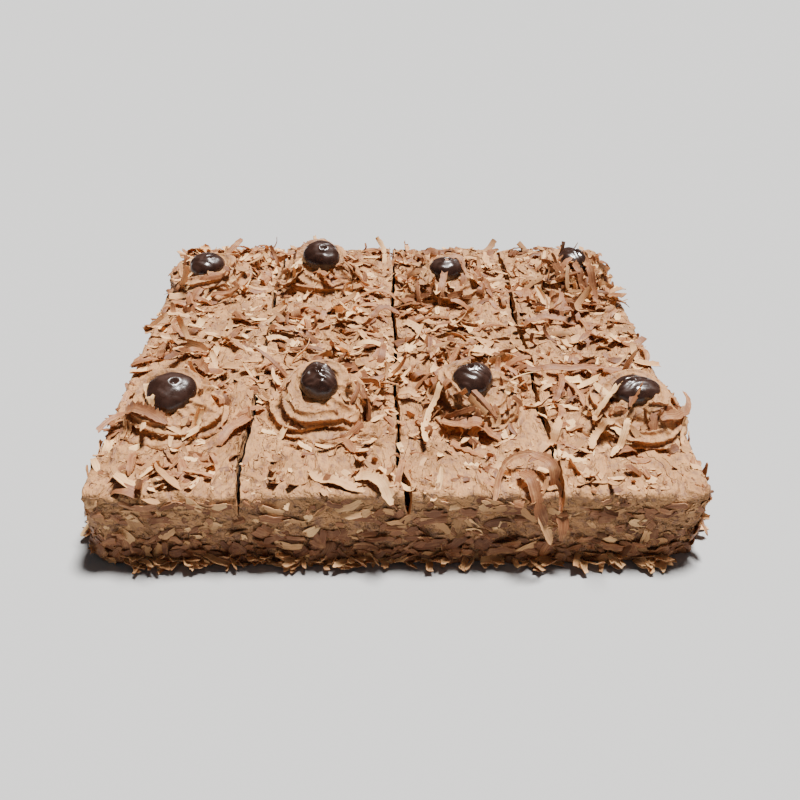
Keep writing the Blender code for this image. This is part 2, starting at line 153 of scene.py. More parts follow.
class Portion:
    """One of the eight cut pieces: its name, its outer sides and where its walls run."""

    def __init__(self, row, column):
        self.name = f"{row}_{column + 1}"
        self.column = column
        self.outer_left = column == 0
        self.outer_right = column == COLUMNS - 1
        self.outer_front = row == "front"
        self.seed = 10 * column + (100 if self.outer_front else 200)

    def half(self, x, y, z, ragged):
        """Half the cut's width: ragged lips in the cream, closed where cream covers the sides."""
        width = half_cut(z)
        if not ragged:
            return width
        opened = ease((z - 0.018) / 0.014)
        width *= 1.0 - 0.12 * opened
        width += 0.0007 * opened * grain(x * 170, y * 170, z * 60)
        width += 0.0006 * opened * grain(x * 45, y * 45, 5.0)
        for gape_x, gape_y, radius, extra in CUT_GAPES:
            away = math.hypot(x - gape_x, y - gape_y) / radius
            if away < 2.0:
                width += 0.5 * extra * math.exp(-away * away) * opened
        outer = max(abs(x) - HALF_WIDTH, abs(y) - HALF_DEPTH) + SIDE_COAT
        closed = ease(outer / 0.002) * ease((SLAB_HEIGHT - 0.0075 - z) / 0.003)
        return max(width, 0.00025) * (1.0 - closed) - 0.0001 * closed

    def left(self, y, z, inset, ragged=False):
        """X of the left wall at a depth and a height."""
        if self.outer_left:
            return -HALF_WIDTH + inset
        middle = column_cut_x(self.column - 1, y)
        return middle + self.half(middle, y, z, ragged)

    def right(self, y, z, inset, ragged=False):
        """X of the right wall at a depth and a height."""
        if self.outer_right:
            return HALF_WIDTH - inset
        middle = column_cut_x(self.column, y)
        return middle - self.half(middle, y, z, ragged)

    def front(self, x, z, inset, ragged=False):
        """Y of the front wall at a place across and a height."""
        if self.outer_front:
            return -HALF_DEPTH + inset
        return row_cut_y(x) + self.half(x, row_cut_y(x), z, ragged)

    def back(self, x, z, inset, ragged=False):
        """Y of the back wall at a place across and a height."""
        if self.outer_front:
            return row_cut_y(x) - self.half(x, row_cut_y(x), z, ragged)
        return HALF_DEPTH - inset

    def place(self, share, inset, top, ragged=False):
        """The point at a share of the way across, along and up the portion."""
        z = share.z * top
        middle_x = (self.left(0.0, z, inset) + self.right(0.0, z, inset)) / 2
        near = self.front(middle_x, z, inset)
        far = self.back(middle_x, z, inset)
        y = near + (far - near) * share.y
        left = self.left(y, z, inset, ragged)
        x = left + (self.right(y, z, inset, ragged) - left) * share.x
        near = self.front(x, z, inset, ragged)
        far = self.back(x, z, inset, ragged)
        return Vector((x, near + (far - near) * share.y, z))


PORTIONS = [Portion(row, column) for row in ROWS for column in range(COLUMNS)]


SHARP_EDGE = math.radians(50)


def gridded_block(cells):
    """A unit block whose faces are split into cells across, along and up."""
    block = bmesh.new()
    bmesh.ops.create_cube(block, size=1.0, matrix=Matrix.Translation((0.5, 0.5, 0.5)))
    for axis, count in enumerate(cells):
        long_edges = [
            edge for edge in block.edges if abs(edge.verts[0].co[axis] - edge.verts[1].co[axis]) > 0.5
        ]
        bmesh.ops.subdivide_edges(block, edges=long_edges, cuts=count - 1, use_grid_fill=True)
    return block


def mesh_of(name, shape):
    """A mesh from a bmesh, which is used up."""
    mesh = bpy.data.meshes.new(name)
    shape.to_mesh(mesh)
    shape.free()
    return mesh


def show_mesh(name, mesh, material, slot, *nodes):
    """Show a mesh as a piece of the cake, smooth shaded."""
    mesh.materials.clear()
    mesh.materials.append(material)
    mesh.polygons.foreach_set("use_smooth", [True] * len(mesh.polygons))
    mesh.set_sharp_from_angle(angle=SHARP_EDGE)
    piece = bpy.data.objects.new(name, mesh)
    bpy.context.scene.collection.objects.link(piece)
    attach(piece, "root")
    if nodes:
        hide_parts(*nodes)
    return piece


def applied(piece):
    """The piece's mesh with its modifiers applied."""
    depsgraph = bpy.context.evaluated_depsgraph_get()
    return bpy.data.meshes.new_from_object(piece.evaluated_get(depsgraph))


def node_tree_of(name):
    """A new material with its node tree, its shader and a helper that adds nodes."""
    material = bpy.data.materials.new(name)
    material.use_nodes = True
    tree = material.node_tree
    shader = tree.nodes["Principled BSDF"]

    def add(kind, links=(), **settings):
        """A node with its settings and with links to its inputs."""
        node = tree.nodes.new(kind)
        for key, value in settings.items():
            if key.startswith("in_"):
                socket = node.inputs[int(key[3:])] if key[3:].isdigit() else node.inputs[key[3:]]
                socket.default_value = value
            else:
                setattr(node, key, value)
        for source, target in links:
            tree.links.new(source, node.inputs[target])
        return node

    return material, tree, shader, add


def colour_steps(add, source, steps):
    """A colour ramp over a value: steps are places with their colours."""
    ramp = add("ShaderNodeValToRGB", [(source, "Fac")])
    stops = ramp.color_ramp.elements
    while len(stops) < len(steps):
        stops.new(0.5)
    for stop, (place, colour) in zip(stops, steps):
        stop.position = place
        stop.color = (*colour, 1.0)
    return ramp.outputs["Color"]


def value_steps(add, source, low, high, start=0.0, end=1.0):
    """A value mapped linearly from one range onto another, and held at the ends."""
    node = add(
        "ShaderNodeMapRange",
        [(source, "Value")],
        in_1=start,
        in_2=end,
        in_3=low,
        in_4=high,
    )
    return node.outputs["Result"]


def mixed(add, factor, first, second, blend="MIX"):
    """Two colours mixed by a factor, each a socket or a plain colour."""
    node = add("ShaderNodeMix", data_type="RGBA", blend_type=blend)
    for index, value in ((0, factor), (6, first), (7, second)):
        if isinstance(value, bpy.types.NodeSocket):
            node.id_data.links.new(value, node.inputs[index])
        elif index == 0:
            node.inputs[0].default_value = value
        else:
            node.inputs[index].default_value = (*value, 1.0)
    return node.outputs[2]


def reckoned(add, operation, first, second=0.0, use_clamp=False):
    """The outcome of a sum, product or the like of a socket and a socket or number."""
    node = add("ShaderNodeMath", [(first, 0)], operation=operation, use_clamp=use_clamp)
    if isinstance(second, bpy.types.NodeSocket):
        node.id_data.links.new(second, node.inputs[1])
    else:
        node.inputs[1].default_value = second
    return node.outputs[0]


def finish_shader(tree, shader, base, rough, normal, specular, flesh=None):
    """Base colour, roughness and bumps onto the shader, with the light that soaks in, if any."""
    tree.links.new(base, shader.inputs["Base Color"])
    if isinstance(rough, bpy.types.NodeSocket):
        tree.links.new(rough, shader.inputs["Roughness"])
    else:
        shader.inputs["Roughness"].default_value = rough
    if normal:
        tree.links.new(normal, shader.inputs["Normal"])
    shader.inputs["Specular IOR Level"].default_value = specular
    if flesh:
        shader.inputs["Subsurface Weight"].default_value = SOAK_WEIGHT
        shader.inputs["Subsurface Radius"].default_value = SOAK_SPREAD
        shader.inputs["Subsurface Scale"].default_value = flesh


def shaded(colour, *shades):
    """A colour with each part dimmed or lifted, by one share for all or one for each, up to full."""
    shades = shades * 3 if len(shades) == 1 else shades
    return tuple(min(1.0, part * shade) for part, shade in zip(colour, shades))


def noise_at(add, place, scale, detail=4.0, roughness=0.55, distortion=0.0):
    """The value of a noise texture at a place."""
    node = add(
        "ShaderNodeTexNoise",
        [(place, "Vector")],
        in_Scale=scale,
        in_Detail=detail,
        in_Roughness=roughness,
        in_Distortion=distortion,
    )
    return node.outputs["Fac"]


def stretched(add, place, scale, turn=(0.0, 0.0, 0.0)):
    """Coordinates stretched by a scale and turned, for streaks."""
    node = add("ShaderNodeMapping", [(place, "Vector")], in_Rotation=turn, in_Scale=scale)
    return node.outputs["Vector"]


def bumped(add, height, strength, distance, below=None):
    """A bump from a height, over an earlier bump."""
    links = [(height, "Height")]
    if below:
        links.append((below, "Normal"))
    node = add("ShaderNodeBump", links, in_Strength=strength, in_Distance=distance)
    return node.outputs["Normal"]


def cream_material(name, colour, smear, streak_turn, worn):
    """Chocolate cream: mottled tan, torn in thin layers, with streaks, pores and brown smears, and painted
    shade on the torn layers' steps and in the pores.
    """
    material, tree, shader, add = node_tree_of(name)
    place = add("ShaderNodeTexCoord").outputs["Object"]
    cloudy = noise_at(add, place, 62.0, 6.0, 0.6)
    fine = noise_at(add, place, 420.0, 6.0, 0.65)
    streaks = noise_at(add, stretched(add, place, (900.0, 90.0, 700.0), streak_turn), 1.0, 4.0, 0.6)
    layers = noise_at(add, stretched(add, place, (75.0, 26.0, 95.0), streak_turn), 1.0, 5.0, 0.5, 0.35)
    ladder = reckoned(add, "FRACT", reckoned(add, "MULTIPLY", layers, 7.0))
    torn = colour_steps(add, ladder, ((0.0, (0, 0, 0)), (0.10, (1, 1, 1)), (1.0, (0, 0, 0))))
    clouds = ((0.36, shaded(colour, 0.72, 0.67, 0.62)), (0.50, colour), (0.64, shaded(colour, 1.16)))
    base = colour_steps(add, cloudy, clouds)
    tone = colour_steps(add, fine, ((0.28, (0.70, 0.65, 0.62)), (0.46, (1.0, 1.0, 1.0))))
    base = mixed(add, 0.60, base, tone, "MULTIPLY")
    # Painted shade: the steep fronts of the torn layers are darkened, as shade falls there
    painted_step_shade = colour_steps(add, ladder, ((0.0, (0.52, 0.44, 0.38)), (0.10, (1.0, 1.0, 1.0))))
    base = mixed(add, 0.60, base, painted_step_shade, "MULTIPLY")
    flecks = noise_at(add, stretched(add, place, (360.0, 190.0, 460.0), streak_turn), 1.0, 5.0, 0.6, 0.4)
    base = mixed(add, value_steps(add, flecks, 0.0, 0.75, 0.515, 0.635), base, smear)
    height = add("ShaderNodeSeparateXYZ", [(place, "Vector")]).outputs["Z"]
    low = value_steps(add, height, 0.75, 0.0, 0.006, 0.031)
    crumbs = value_steps(add, flecks, 0.25, 1.0, 0.38, 0.56)
    base = mixed(add, reckoned(add, "MULTIPLY", low, crumbs), base, smear)
    pores = add("ShaderNodeTexVoronoi", [(place, "Vector")], in_Scale=620.0, in_Randomness=1.0)
    sparse = noise_at(add, place, 150.0, 2.0, 0.5)
    pore = value_steps(add, pores.outputs["Distance"], 1.0, 0.0, 0.10, 0.28)
    holes = reckoned(add, "MULTIPLY", pore, value_steps(add, sparse, 0.0, 1.0, 0.56, 0.66))
    # Painted shade: the pores are darkened to under half the cream's colour, as shade falls in them
    base = mixed(add, holes, base, shaded(colour, 0.45))
    lumps = noise_at(add, stretched(add, place, (150.0, 80.0, 190.0), streak_turn), 1.0, 4.0, 0.6, 0.5)
    normal = bumped(add, streaks, 0.45, 0.0008)
    normal = bumped(add, lumps, 0.90 * worn, 0.0030, normal)
    normal = bumped(add, fine, 0.80 * worn, 0.0008, normal)
    normal = bumped(add, torn, 0.85 * worn, 0.0013, normal)
    sunk = value_steps(add, holes, 0.0, -1.0)
    normal = bumped(add, sunk, 0.8, 0.0005, normal)
    rough = value_steps(add, cloudy, 0.50, 0.74, 0.3, 0.7)
    finish_shader(tree, shader, base, rough, normal, 0.35, flesh=0.0012)
    return material


# How dark or light single shavings are, from the darkest to the palest
SHAVING_TINTS = (
    (0.0, (0.44, 0.38, 0.35)),
    (0.34, (0.70, 0.62, 0.57)),
    (0.66, (0.94, 0.91, 0.89)),
    (1.0, (1.18, 1.22, 1.20)),
)


def shaving_material(name, pale, brown):
    """Scraped chocolate: pale on one side, copper brown on the other, streaked along its length."""
    material, tree, shader, add = node_tree_of(name)
    place = add("ShaderNodeTexCoord").outputs["Object"]
    side = add("ShaderNodeAttribute", attribute_name="side").outputs["Fac"]
    tint = add("ShaderNodeAttribute", attribute_name="tint").outputs["Fac"]
    ribbon = add("ShaderNodeUVMap", uv_map="ribbon").outputs["UV"]
    streaks = noise_at(add, stretched(add, ribbon, (60.0, 2600.0, 1.0)), 1.0, 4.0, 0.6)
    chatter = noise_at(add, stretched(add, ribbon, (1500.0, 120.0, 1.0)), 1.0, 3.0, 0.6)
    mottle = noise_at(add, place, 300.0, 4.0, 0.6)
    deep = shaded(brown, 0.62, 0.52, 0.45)
    dusk = shaded(pale, 0.78, 0.70, 0.64)
    brown_side = colour_steps(add, streaks, ((0.30, deep), (0.52, brown), (0.75, dusk)))
    pale_side = colour_steps(add, streaks, ((0.28, dusk), (0.50, pale), (0.72, shaded(pale, 1.22))))
    mix = reckoned(add, "ADD", side, value_steps(add, mottle, -0.35, 0.35, 0.25, 0.75), use_clamp=True)
    base = mixed(add, mix, pale_side, brown_side)
    base = mixed(add, 1.0, base, colour_steps(add, tint, SHAVING_TINTS), "MULTIPLY")
    normal = bumped(add, streaks, 0.5, 0.0003)
    normal = bumped(add, chatter, 0.35, 0.0003, normal)
    finish_shader(tree, shader, base, value_steps(add, mix, 0.66, 0.48), normal, 0.22, flesh=0.0008)
    return material


def sponge_material(name, colour):
    """Dark open crumb."""
    material, tree, shader, add = node_tree_of(name)
    place = add("ShaderNodeTexCoord").outputs["Object"]
    crumbs = add("ShaderNodeTexVoronoi", [(place, "Vector")], in_Scale=900.0).outputs["Distance"]
    cloudy = noise_at(add, place, 260.0, 5.0, 0.7)
    steps = ((0.30, shaded(colour, 0.35)), (0.52, colour), (0.78, shaded(colour, 2.4)))
    base = colour_steps(add, cloudy, steps)
    normal = bumped(add, cloudy, 0.8, 0.0012, bumped(add, crumbs, 0.8, 0.0010))
    finish_shader(tree, shader, base, 0.95, normal, 0.15)
    return material


def ganache_material(name, colour):
    """Wet dark ganache, glossy, with faint skin wrinkles and duller patches."""
    material, tree, shader, add = node_tree_of(name)
    place = add("ShaderNodeTexCoord").outputs["Object"]
    cloudy = noise_at(add, place, 170.0, 4.0, 0.55)
    skin = noise_at(add, stretched(add, place, (260.0, 520.0, 520.0)), 1.0, 4.0, 0.6, 0.6)
    base = colour_steps(add, cloudy, ((0.35, colour), (0.75, shaded(colour, 2.1))))
    rough = value_steps(add, cloudy, 0.18, 0.42, 0.35, 0.7)
    finish_shader(tree, shader, base, rough, bumped(add, skin, 0.22, 0.0006), 0.55)
    shader.inputs["Coat Weight"].default_value = 0.25
    shader.inputs["Coat Roughness"].default_value = 0.08
    return material


def floor_material(name, colour):
    """A plain pale matt floor."""
    material, tree, shader, add = node_tree_of(name)
    place = add("ShaderNodeTexCoord").outputs["Object"]
    cloudy = noise_at(add, place, 3.0, 2.0, 0.5)
    base = colour_steps(add, cloudy, ((0.3, shaded(colour, 0.99)), (0.7, colour)))
    finish_shader(tree, shader, base, 0.85, None, 0.5)
    return material


# Radii of the coat's corners: down the outer corners at the foot and at the top, and along the top
CORNER_FOOT = 0.016
WORN_CORNER = "front_4"
WORN_FOOT = 0.027
CORNER_TOP = 0.0070
EDGE_ROUND = 0.0020
COAT_CELLS = (76, 152, 32)


def top_relief(x, y, portion):
    """Height of the spread cream over the slab's plain top."""
    turn = 0.9 * math.sin(portion.seed * 1.7)
    along = x * math.sin(turn) + y * math.cos(turn)
    across = x * math.cos(turn) - y * math.sin(turn)
    height = 0.0015 * grain(x * 34, y * 34, 1.3)
    height += 0.00060 * grain(across * 330, along * 42, portion.seed)
    height += 0.00055 * grain(x * 210, y * 210, 7.7)
    terrace = 2.3 * grain(across * 62, along * 40, 3.1 + portion.seed)
    height += 0.0018 * terraced(terrace, 6.0)
    pit = grain(x * 520, y * 520, 11.0)
    if pit > 0.42:
        height -= 0.0022 * (pit - 0.42)
    ridge = 1.0 - abs(x - RIDGE_X - 0.0012 * grain(y * 40, 2.0)) / RIDGE_HALF
    if ridge > 0.0:
        ends = ease((y - RIDGE_ENDS[0]) / 0.012) * ease((RIDGE_ENDS[1] - y) / 0.015)
        streak = 1.0 + 0.35 * grain(x * 900, y * 50, 4.0)
        height += RIDGE_RISE * ease(ridge * 1.6) * ends * streak
    return height


def side_relief(along, z, portion_seed):
    """How far the cream on an outer side stands proud, with level knife streaks."""
    height = 0.0011 * grain(along * 30, z * 60, 21.0 + portion_seed)
    height += 0.0006 * grain(along * 55, z * 420, 25.0 + portion_seed)
    height += 0.00035 * grain(along * 260, z * 330, 29.0)
    terrace = 1.8 * grain(along * 45, z * 170, 33.0 + portion_seed)
    height += 0.0009 * terraced(terrace, 4.0)
    return height


def rounded_away(portion, point):
    """The point moved in to round the outer corner and the top edge, with its outward mix."""
    sign_x = -1.0 if portion.outer_left else 1.0
    sign_y = -1.0 if portion.outer_front else 1.0
    far = 1.0
    in_x = HALF_WIDTH - abs(point.x) if portion.outer_left or portion.outer_right else far
    in_y = HALF_DEPTH - abs(point.y) if (point.y < 0) == portion.outer_front else far
    out = Vector((0.0, sign_y)) if in_y < in_x else Vector((sign_x, 0.0))
    side = min(in_x, in_y)
    up = point.z / SLAB_HEIGHT
    foot = WORN_FOOT if portion.name == WORN_CORNER else CORNER_FOOT
    corner = foot + (CORNER_TOP - foot) * up ** 0.7
    moved = point.copy()
    if in_x < corner and in_y < corner:
        share = Vector((1.0 - in_x / corner, 1.0 - in_y / corner))
        if share.length > 0.0:
            shrunk = onto_arc(share)
            moved.x = sign_x * (HALF_WIDTH - corner * (1.0 - shrunk.x))
            moved.y = sign_y * (HALF_DEPTH - corner * (1.0 - shrunk.y))
            out = Vector((sign_x * share.x, sign_y * share.y)).normalized()
    edge = EDGE_ROUND * (1.0 + 0.35 * grain(point.x * 60, point.y * 60, 41.0))
    share = Vector((1.0 - side / edge, 1.0 - (SLAB_HEIGHT - point.z) / edge))
    tilt = 1.0
    if share.x > 0.0 and share.y > 0.0:
        shrunk = onto_arc(share)
        inward = (share.x - shrunk.x) * edge
        moved.x -= out.x * inward
        moved.y -= out.y * inward
        moved.z -= (share.y - shrunk.y) * edge
        tilt = share.y / share.length
    elif point.z < SLAB_HEIGHT - 0.00001:
        tilt = 0.0
    return moved, out, tilt, side


def coat_shape(portion):
    """The coat's block: walls along the cuts, rounded outer edges and knife-worked faces."""
    block = gridded_block(COAT_CELLS)
    for vert in block.verts:
        share = vert.co.copy()
        point = portion.place(share, 0.0, SLAB_HEIGHT, ragged=True)
        moved, out, tilt, side = rounded_away(portion, point)
        if point.z > SLAB_HEIGHT - 0.00001 or tilt > 0.0:
            moved.z += tilt * top_relief(moved.x, moved.y, portion)
        if side < 0.00001 and tilt < 1.0:
            along = moved.x * out.y - moved.y * out.x
            seed = 0.0 if abs(out.y) > abs(out.x) else 9.0
            proud = side_relief(along, moved.z, seed) * (1.0 - tilt) * ease(moved.z / 0.002)
            moved.x += out.x * proud
            moved.y += out.y * proud
        vert.co = moved
    return block


def room_corner(portion):
    """Radius of the sponge's upright outer corner, and of the room it stands in."""
    return 0.019 if portion.name == WORN_CORNER else 0.008


def room_cutter(portion):
    """The room under the coat, run out through the cut walls and the foot."""
    past = SIDE_COAT
    low = Vector((portion.left(0, 0, 0) - past, portion.front(0, 0, 0) - past, -past))
    high = Vector((portion.right(0, 0, 0) + past, portion.back(0, 0, 0) + past, 0))
    high.z = SLAB_HEIGHT - TOP_COAT + GAP
    room = SIDE_COAT - GAP
    if portion.outer_left:
        low.x = -HALF_WIDTH + room
    if portion.outer_right:
        high.x = HALF_WIDTH - room
    if portion.outer_front:
        low.y = -HALF_DEPTH + room
    else:
        high.y = HALF_DEPTH - room
    block = bmesh.new()
    bmesh.ops.create_cube(block, size=1.0)
    bmesh.ops.transform(
        block,
        matrix=Matrix.Translation((low + high) / 2) @ Matrix.Diagonal((*(high - low), 1.0)),
        verts=block.verts,
    )
    corner_x = low.x if portion.outer_left else high.x
    corner_y = low.y if portion.outer_front else high.y
    if portion.outer_left or portion.outer_right:
        upright = [
            edge
            for edge in block.edges
            if all(abs(end.co.x - corner_x) + abs(end.co.y - corner_y) < 0.0001 for end in edge.verts)
        ]
        bmesh.ops.bevel(
            block,
            geom=upright,
            offset=room_corner(portion),
            segments=6,
            profile=0.5,
            affect="EDGES",
            material=-1,
        )
    return bpy.data.objects.new("room", mesh_of("room", block))


def cut_away(shape, cutter):
    """The mesh of a bmesh, which is used up, with a cutter taken out of it."""
    whole = bpy.data.objects.new("uncut", mesh_of("uncut", shape))
    for item in (whole, cutter):
        bpy.context.scene.collection.objects.link(item)
    modifier = whole.modifiers.new("room", "BOOLEAN")
    modifier.operation = "DIFFERENCE"
    modifier.object = cutter
    result = applied(whole)
    for item in (whole, cutter):
        bpy.data.objects.remove(item, do_unlink=True)
    return result


# Swirls: each rope's turns, start angle, hand (1 turns left), flutes and how far they wind
SWIRL_ROPES = {
    "front_1": (1.60, 3.70, -1, 7, 0.9),
    "front_2": (1.75, 4.80, -1, 7, 0.8),
    "front_3": (1.65, 5.60, -1, 8, 1.0),
    "front_4": (1.60, 2.40, -1, 8, 0.9),
    "back_1": (1.60, 4.90, 1, 7, -0.9),
    "back_2": (1.65, 3.60, -1, 7, 0.8),
    "back_3": (1.70, 4.20, -1, 8, 0.7),
    "back_4": (1.60, 5.20, -1, 7, 0.9),
}
# Folds of cream pulled out over a rope: bearing at the drop and at the rim, reach, width, lift
SWIRL_FOLDS = {
    "front_1": (
        (0.55, 0.30, 0.0245, 0.0070, 1.0),
        (-0.25, -0.30, 0.0230, 0.0062, 0.7),
        (-0.95, -0.85, 0.0215, 0.0062, 0.4),
        (1.9, 1.75, 0.0235, 0.0066, 0.9),
    ),
    "front_2": (
        (0.10, -0.25, 0.0230, 0.0066, 0.8),
        (-0.75, -0.60, 0.0240, 0.0062, 0.5),
        (1.55, 1.75, 0.0225, 0.0060, 1.2),
    ),
    "front_3": (
        (0.30, 0.15, 0.0245, 0.0062, 1.0),
        (-0.55, -0.70, 0.0235, 0.0064, 0.5),
        (2.6, 2.8, 0.0225, 0.0060, 0.7),
    ),
    "front_4": (
        (-0.25, -0.55, 0.0250, 0.0068, 0.9),
        (-0.85, -1.05, 0.0250, 0.0058, 0.6),
        (0.45, 0.25, 0.0250, 0.0066, 1.0),
        (-2.2, -2.5, 0.0225, 0.0066, 0.6),
    ),
    "back_1": (
        (-0.6, -0.9, 0.0235, 0.0062, 0.6),
        (1.2, 1.0, 0.0230, 0.0062, 0.9),
    ),
    "back_2": (
        (-0.4, -0.7, 0.0235, 0.0062, 0.7),
        (2.9, 3.1, 0.0230, 0.0060, 0.8),
    ),
    "back_3": (
        (-0.3, -0.6, 0.0240, 0.0060, 0.7),
        (2.75, 2.95, 0.0240, 0.0064, 1.0),
        (3.6, 3.75, 0.0235, 0.0058, 0.8),
        (1.5, 1.3, 0.0225, 0.0062, 1.2),
    ),
    "back_4": (
        (-0.5, -0.8, 0.0235, 0.0062, 0.7),
        (2.4, 2.6, 0.0225, 0.0060, 0.8),
    ),
}
ROPE_RADIUS = 0.0088
ROPE_SQUASH = 0.74
SKIRT_REACH = 0.0240
SKIRT_RISE = 0.0062
ROPE_REACH = 0.0245
NEST_RADIUS = 0.0105
NEST_LIP = 0.0036
PAD_RADIUS = 0.0125
PAD_RISE = 0.0002
ROPE_LEVELS = 150
ROPE_SIDES = 64
FLUTE_DEPTH = 0.36
SWIRL_VOXEL = 0.00052


def pipe_rope(shape, way, centre, foot, rope_at, flutes, wind, seed, levels=ROPE_LEVELS, squash=ROPE_SQUASH):
    """Cream pressed through a star nozzle along a way, blunt at its start and thin at its end."""
    made = bmesh.ops.create_uvsphere(shape, u_segments=ROPE_SIDES, v_segments=levels, radius=1.0)
    for vert in made["verts"]:
        share = math.acos(max(-1.0, min(1.0, vert.co.z))) / math.pi
        around = math.atan2(vert.co.y, vert.co.x)
        here = way(share)
        ahead = (way(min(share + 0.004, 1.0)) - way(max(share - 0.004, 0.0))).normalized()
        outward = Vector((here.x - centre.x, here.y - centre.y, 0.0))
        flat = Vector((ahead.x, ahead.y, 0.0))
        if abs(outward.normalized().dot(flat.normalized())) > 0.8:
            outward = Vector((-ahead.y, ahead.x, 0.0))
        outward = (outward - ahead * outward.dot(ahead)).normalized()
        upward = ahead.cross(outward)
        if upward.z < 0:
            upward = -upward
        blunt = min(1.0, math.sqrt(max(0.0, 1.0 - (1.0 - min(share / 0.08, 1.0)) ** 2)))
        thin = min(1.0, math.sqrt(max(0.0, 1.0 - (1.0 - min((1.0 - share) / 0.14, 1.0)) ** 2)))
        wound = around + wind * share * math.pi
        lobe = abs(math.sin(0.5 * flutes * wound + 0.35 * math.sin(flutes * wound)))
        radius = rope_at(share) * (1.0 - FLUTE_DEPTH * lobe**1.2) * blunt * thin
        radius *= 1.0 + 0.16 * grain(share * levels * 0.12, around * 1.5, seed)
        vert.co = here + outward * (radius * math.cos(around)) + upward * (radius * squash * math.sin(around))
        vert.co.z = max(vert.co.z, foot)


def swirl_shape(portion):
    """A rope of cream piped round a nest for the drop, with folds pulled out over it."""
    turns, start, hand, flutes, wind = SWIRL_ROPES[portion.name]
    rng = random.Random(portion.seed)
    low, high = (Vector(corner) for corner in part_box(f"{portion.name}_ganache"))
    nest = (low + high) / 2
    low, high = (Vector(corner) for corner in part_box(f"{portion.name}_swirl"))
    centre = (low + high) / 2
    foot = SLAB_HEIGHT + GAP
    seat = foot + swirl_height(portion) * 0.80
    wobble = rng.uniform(0.0, math.tau)
    swirl = bmesh.new()

    def thickness(share):
        """The rope's radius, thinner towards its end."""
        return ROPE_RADIUS * (1.0 - 0.34 * ease((share - 0.35) / 0.5))

    def way(share):
        """The middle of the rope: round the rim, then up and in round the nest."""
        angle = start + hand * math.tau * turns * share
        inward = ease((share - 0.38) / 0.42)
        radius = (ROPE_REACH - ROPE_RADIUS) * (1.0 - inward) + NEST_RADIUS * inward
        radius *= 1.0 + 0.09 * math.sin(2 * angle + wobble) + 0.05 * math.sin(5 * angle + 2 * wobble)
        middle = centre.lerp(nest, inward)
        climb = ease((share - 0.30) / 0.55)
        lowest = foot + ROPE_RADIUS * 0.26
        highest = seat + NEST_LIP - thickness(1.0) * ROPE_SQUASH
        z = lowest + (highest - lowest) * climb + 0.0007 * math.sin(3 * angle + wobble)
        return Vector((middle.x + radius * math.cos(angle), middle.y + radius * math.sin(angle), z))

    pipe_rope(swirl, way, centre, foot, thickness, flutes, wind, portion.seed)
    for number, (bearing, rim, reach, width, lift) in enumerate(SWIRL_FOLDS[portion.name]):

        def fold_way(share):
            """The middle of a fold: from the nest down to the rim."""
            angle = bearing + (rim - bearing) * share
            radius = NEST_RADIUS * 0.75 + (reach - NEST_RADIUS * 0.75 - width * 0.4) * share
            middle = nest.lerp(centre, share)
            top = seat + NEST_LIP * lift - width * 0.62
            z = top + (foot + width * 0.40 - top) * ease(share * 0.95) ** 1.1
            return Vector((middle.x + radius * math.cos(angle), middle.y + radius * math.sin(angle), z))

        def fold_width(share):
            """A fold's radius, wider towards the rim."""
            return 1.25 * width * (0.66 + 0.34 * ease(share * 1.6))

        pipe_rope(swirl, fold_way, centre, foot, fold_width, 6, 0.35, portion.seed + number, 70, 0.58)
    seat_pad = bmesh.ops.create_uvsphere(swirl, u_segments=32, v_segments=16, radius=1.0)["verts"]
    depth = (seat - foot) / 2
    bmesh.ops.transform(
        swirl,
        matrix=Matrix.Translation((nest.x, nest.y, seat - depth + PAD_RISE))
        @ Matrix.Diagonal((PAD_RADIUS, PAD_RADIUS, depth, 1.0)),
        verts=seat_pad,
    )
    skirt = bmesh.ops.create_uvsphere(swirl, u_segments=48, v_segments=20, radius=1.0)["verts"]
    for vert in skirt:
        angle = math.atan2(vert.co.y, vert.co.x)
        ripple = 0.06 * math.sin(3 * angle + wobble) + 0.05 * math.sin(7 * angle - wobble)
        reach = SKIRT_REACH * (1.0 + ripple)
        vert.co.x = centre.x + vert.co.x * reach
        vert.co.y = centre.y + vert.co.y * reach
        vert.co.z = foot + max(vert.co.z, 0.0) * SKIRT_RISE
    slope = math.tan(DROP_SKINS[portion.name][4]) / (seat - foot)
    for vert in swirl.verts:
        stretch = min(max(1.0 + slope * (vert.co.y - nest.y), 0.62), 1.32)
        vert.co.z = foot + (vert.co.z - foot) * stretch
    return swirl


def worked(mesh, seed):
    """Small dents and drag marks pressed into piped cream, along its normals."""
    shape = bmesh.new()
    shape.from_mesh(mesh)
    bmesh.ops.recalc_face_normals(shape, faces=shape.faces)
    shape.normal_update()
    moves = []
    for vert in shape.verts:
        x, y, z = vert.co
        dent = 0.00055 * grain(x * 85, y * 85, z * 110 + seed)
        terrace = 2.6 * grain(x * 75, y * 75, z * 60 + seed + 5.0)
        dent += 0.00045 * terraced(terrace, 4.0)
        dent += 0.00014 * grain(x * 260, y * 260, z * 360 + seed)
        pit = grain(x * 430, y * 430, z * 430)
        dent -= 0.0014 * max(pit - 0.38, 0.0)
        moves.append(vert.normal * dent)
    for vert, move in zip(shape.verts, moves):
        vert.co += move
        vert.co.z = max(vert.co.z, SLAB_HEIGHT + GAP * 0.5)
    shape.to_mesh(mesh)
    shape.free()
    return mesh


def swirl_height(portion):
    """Height of a swirl, read from its drop's seat."""
    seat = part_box(f"{portion.name}_ganache")[0][2]
    return (seat - SLAB_HEIGHT - 2 * GAP) / 0.80


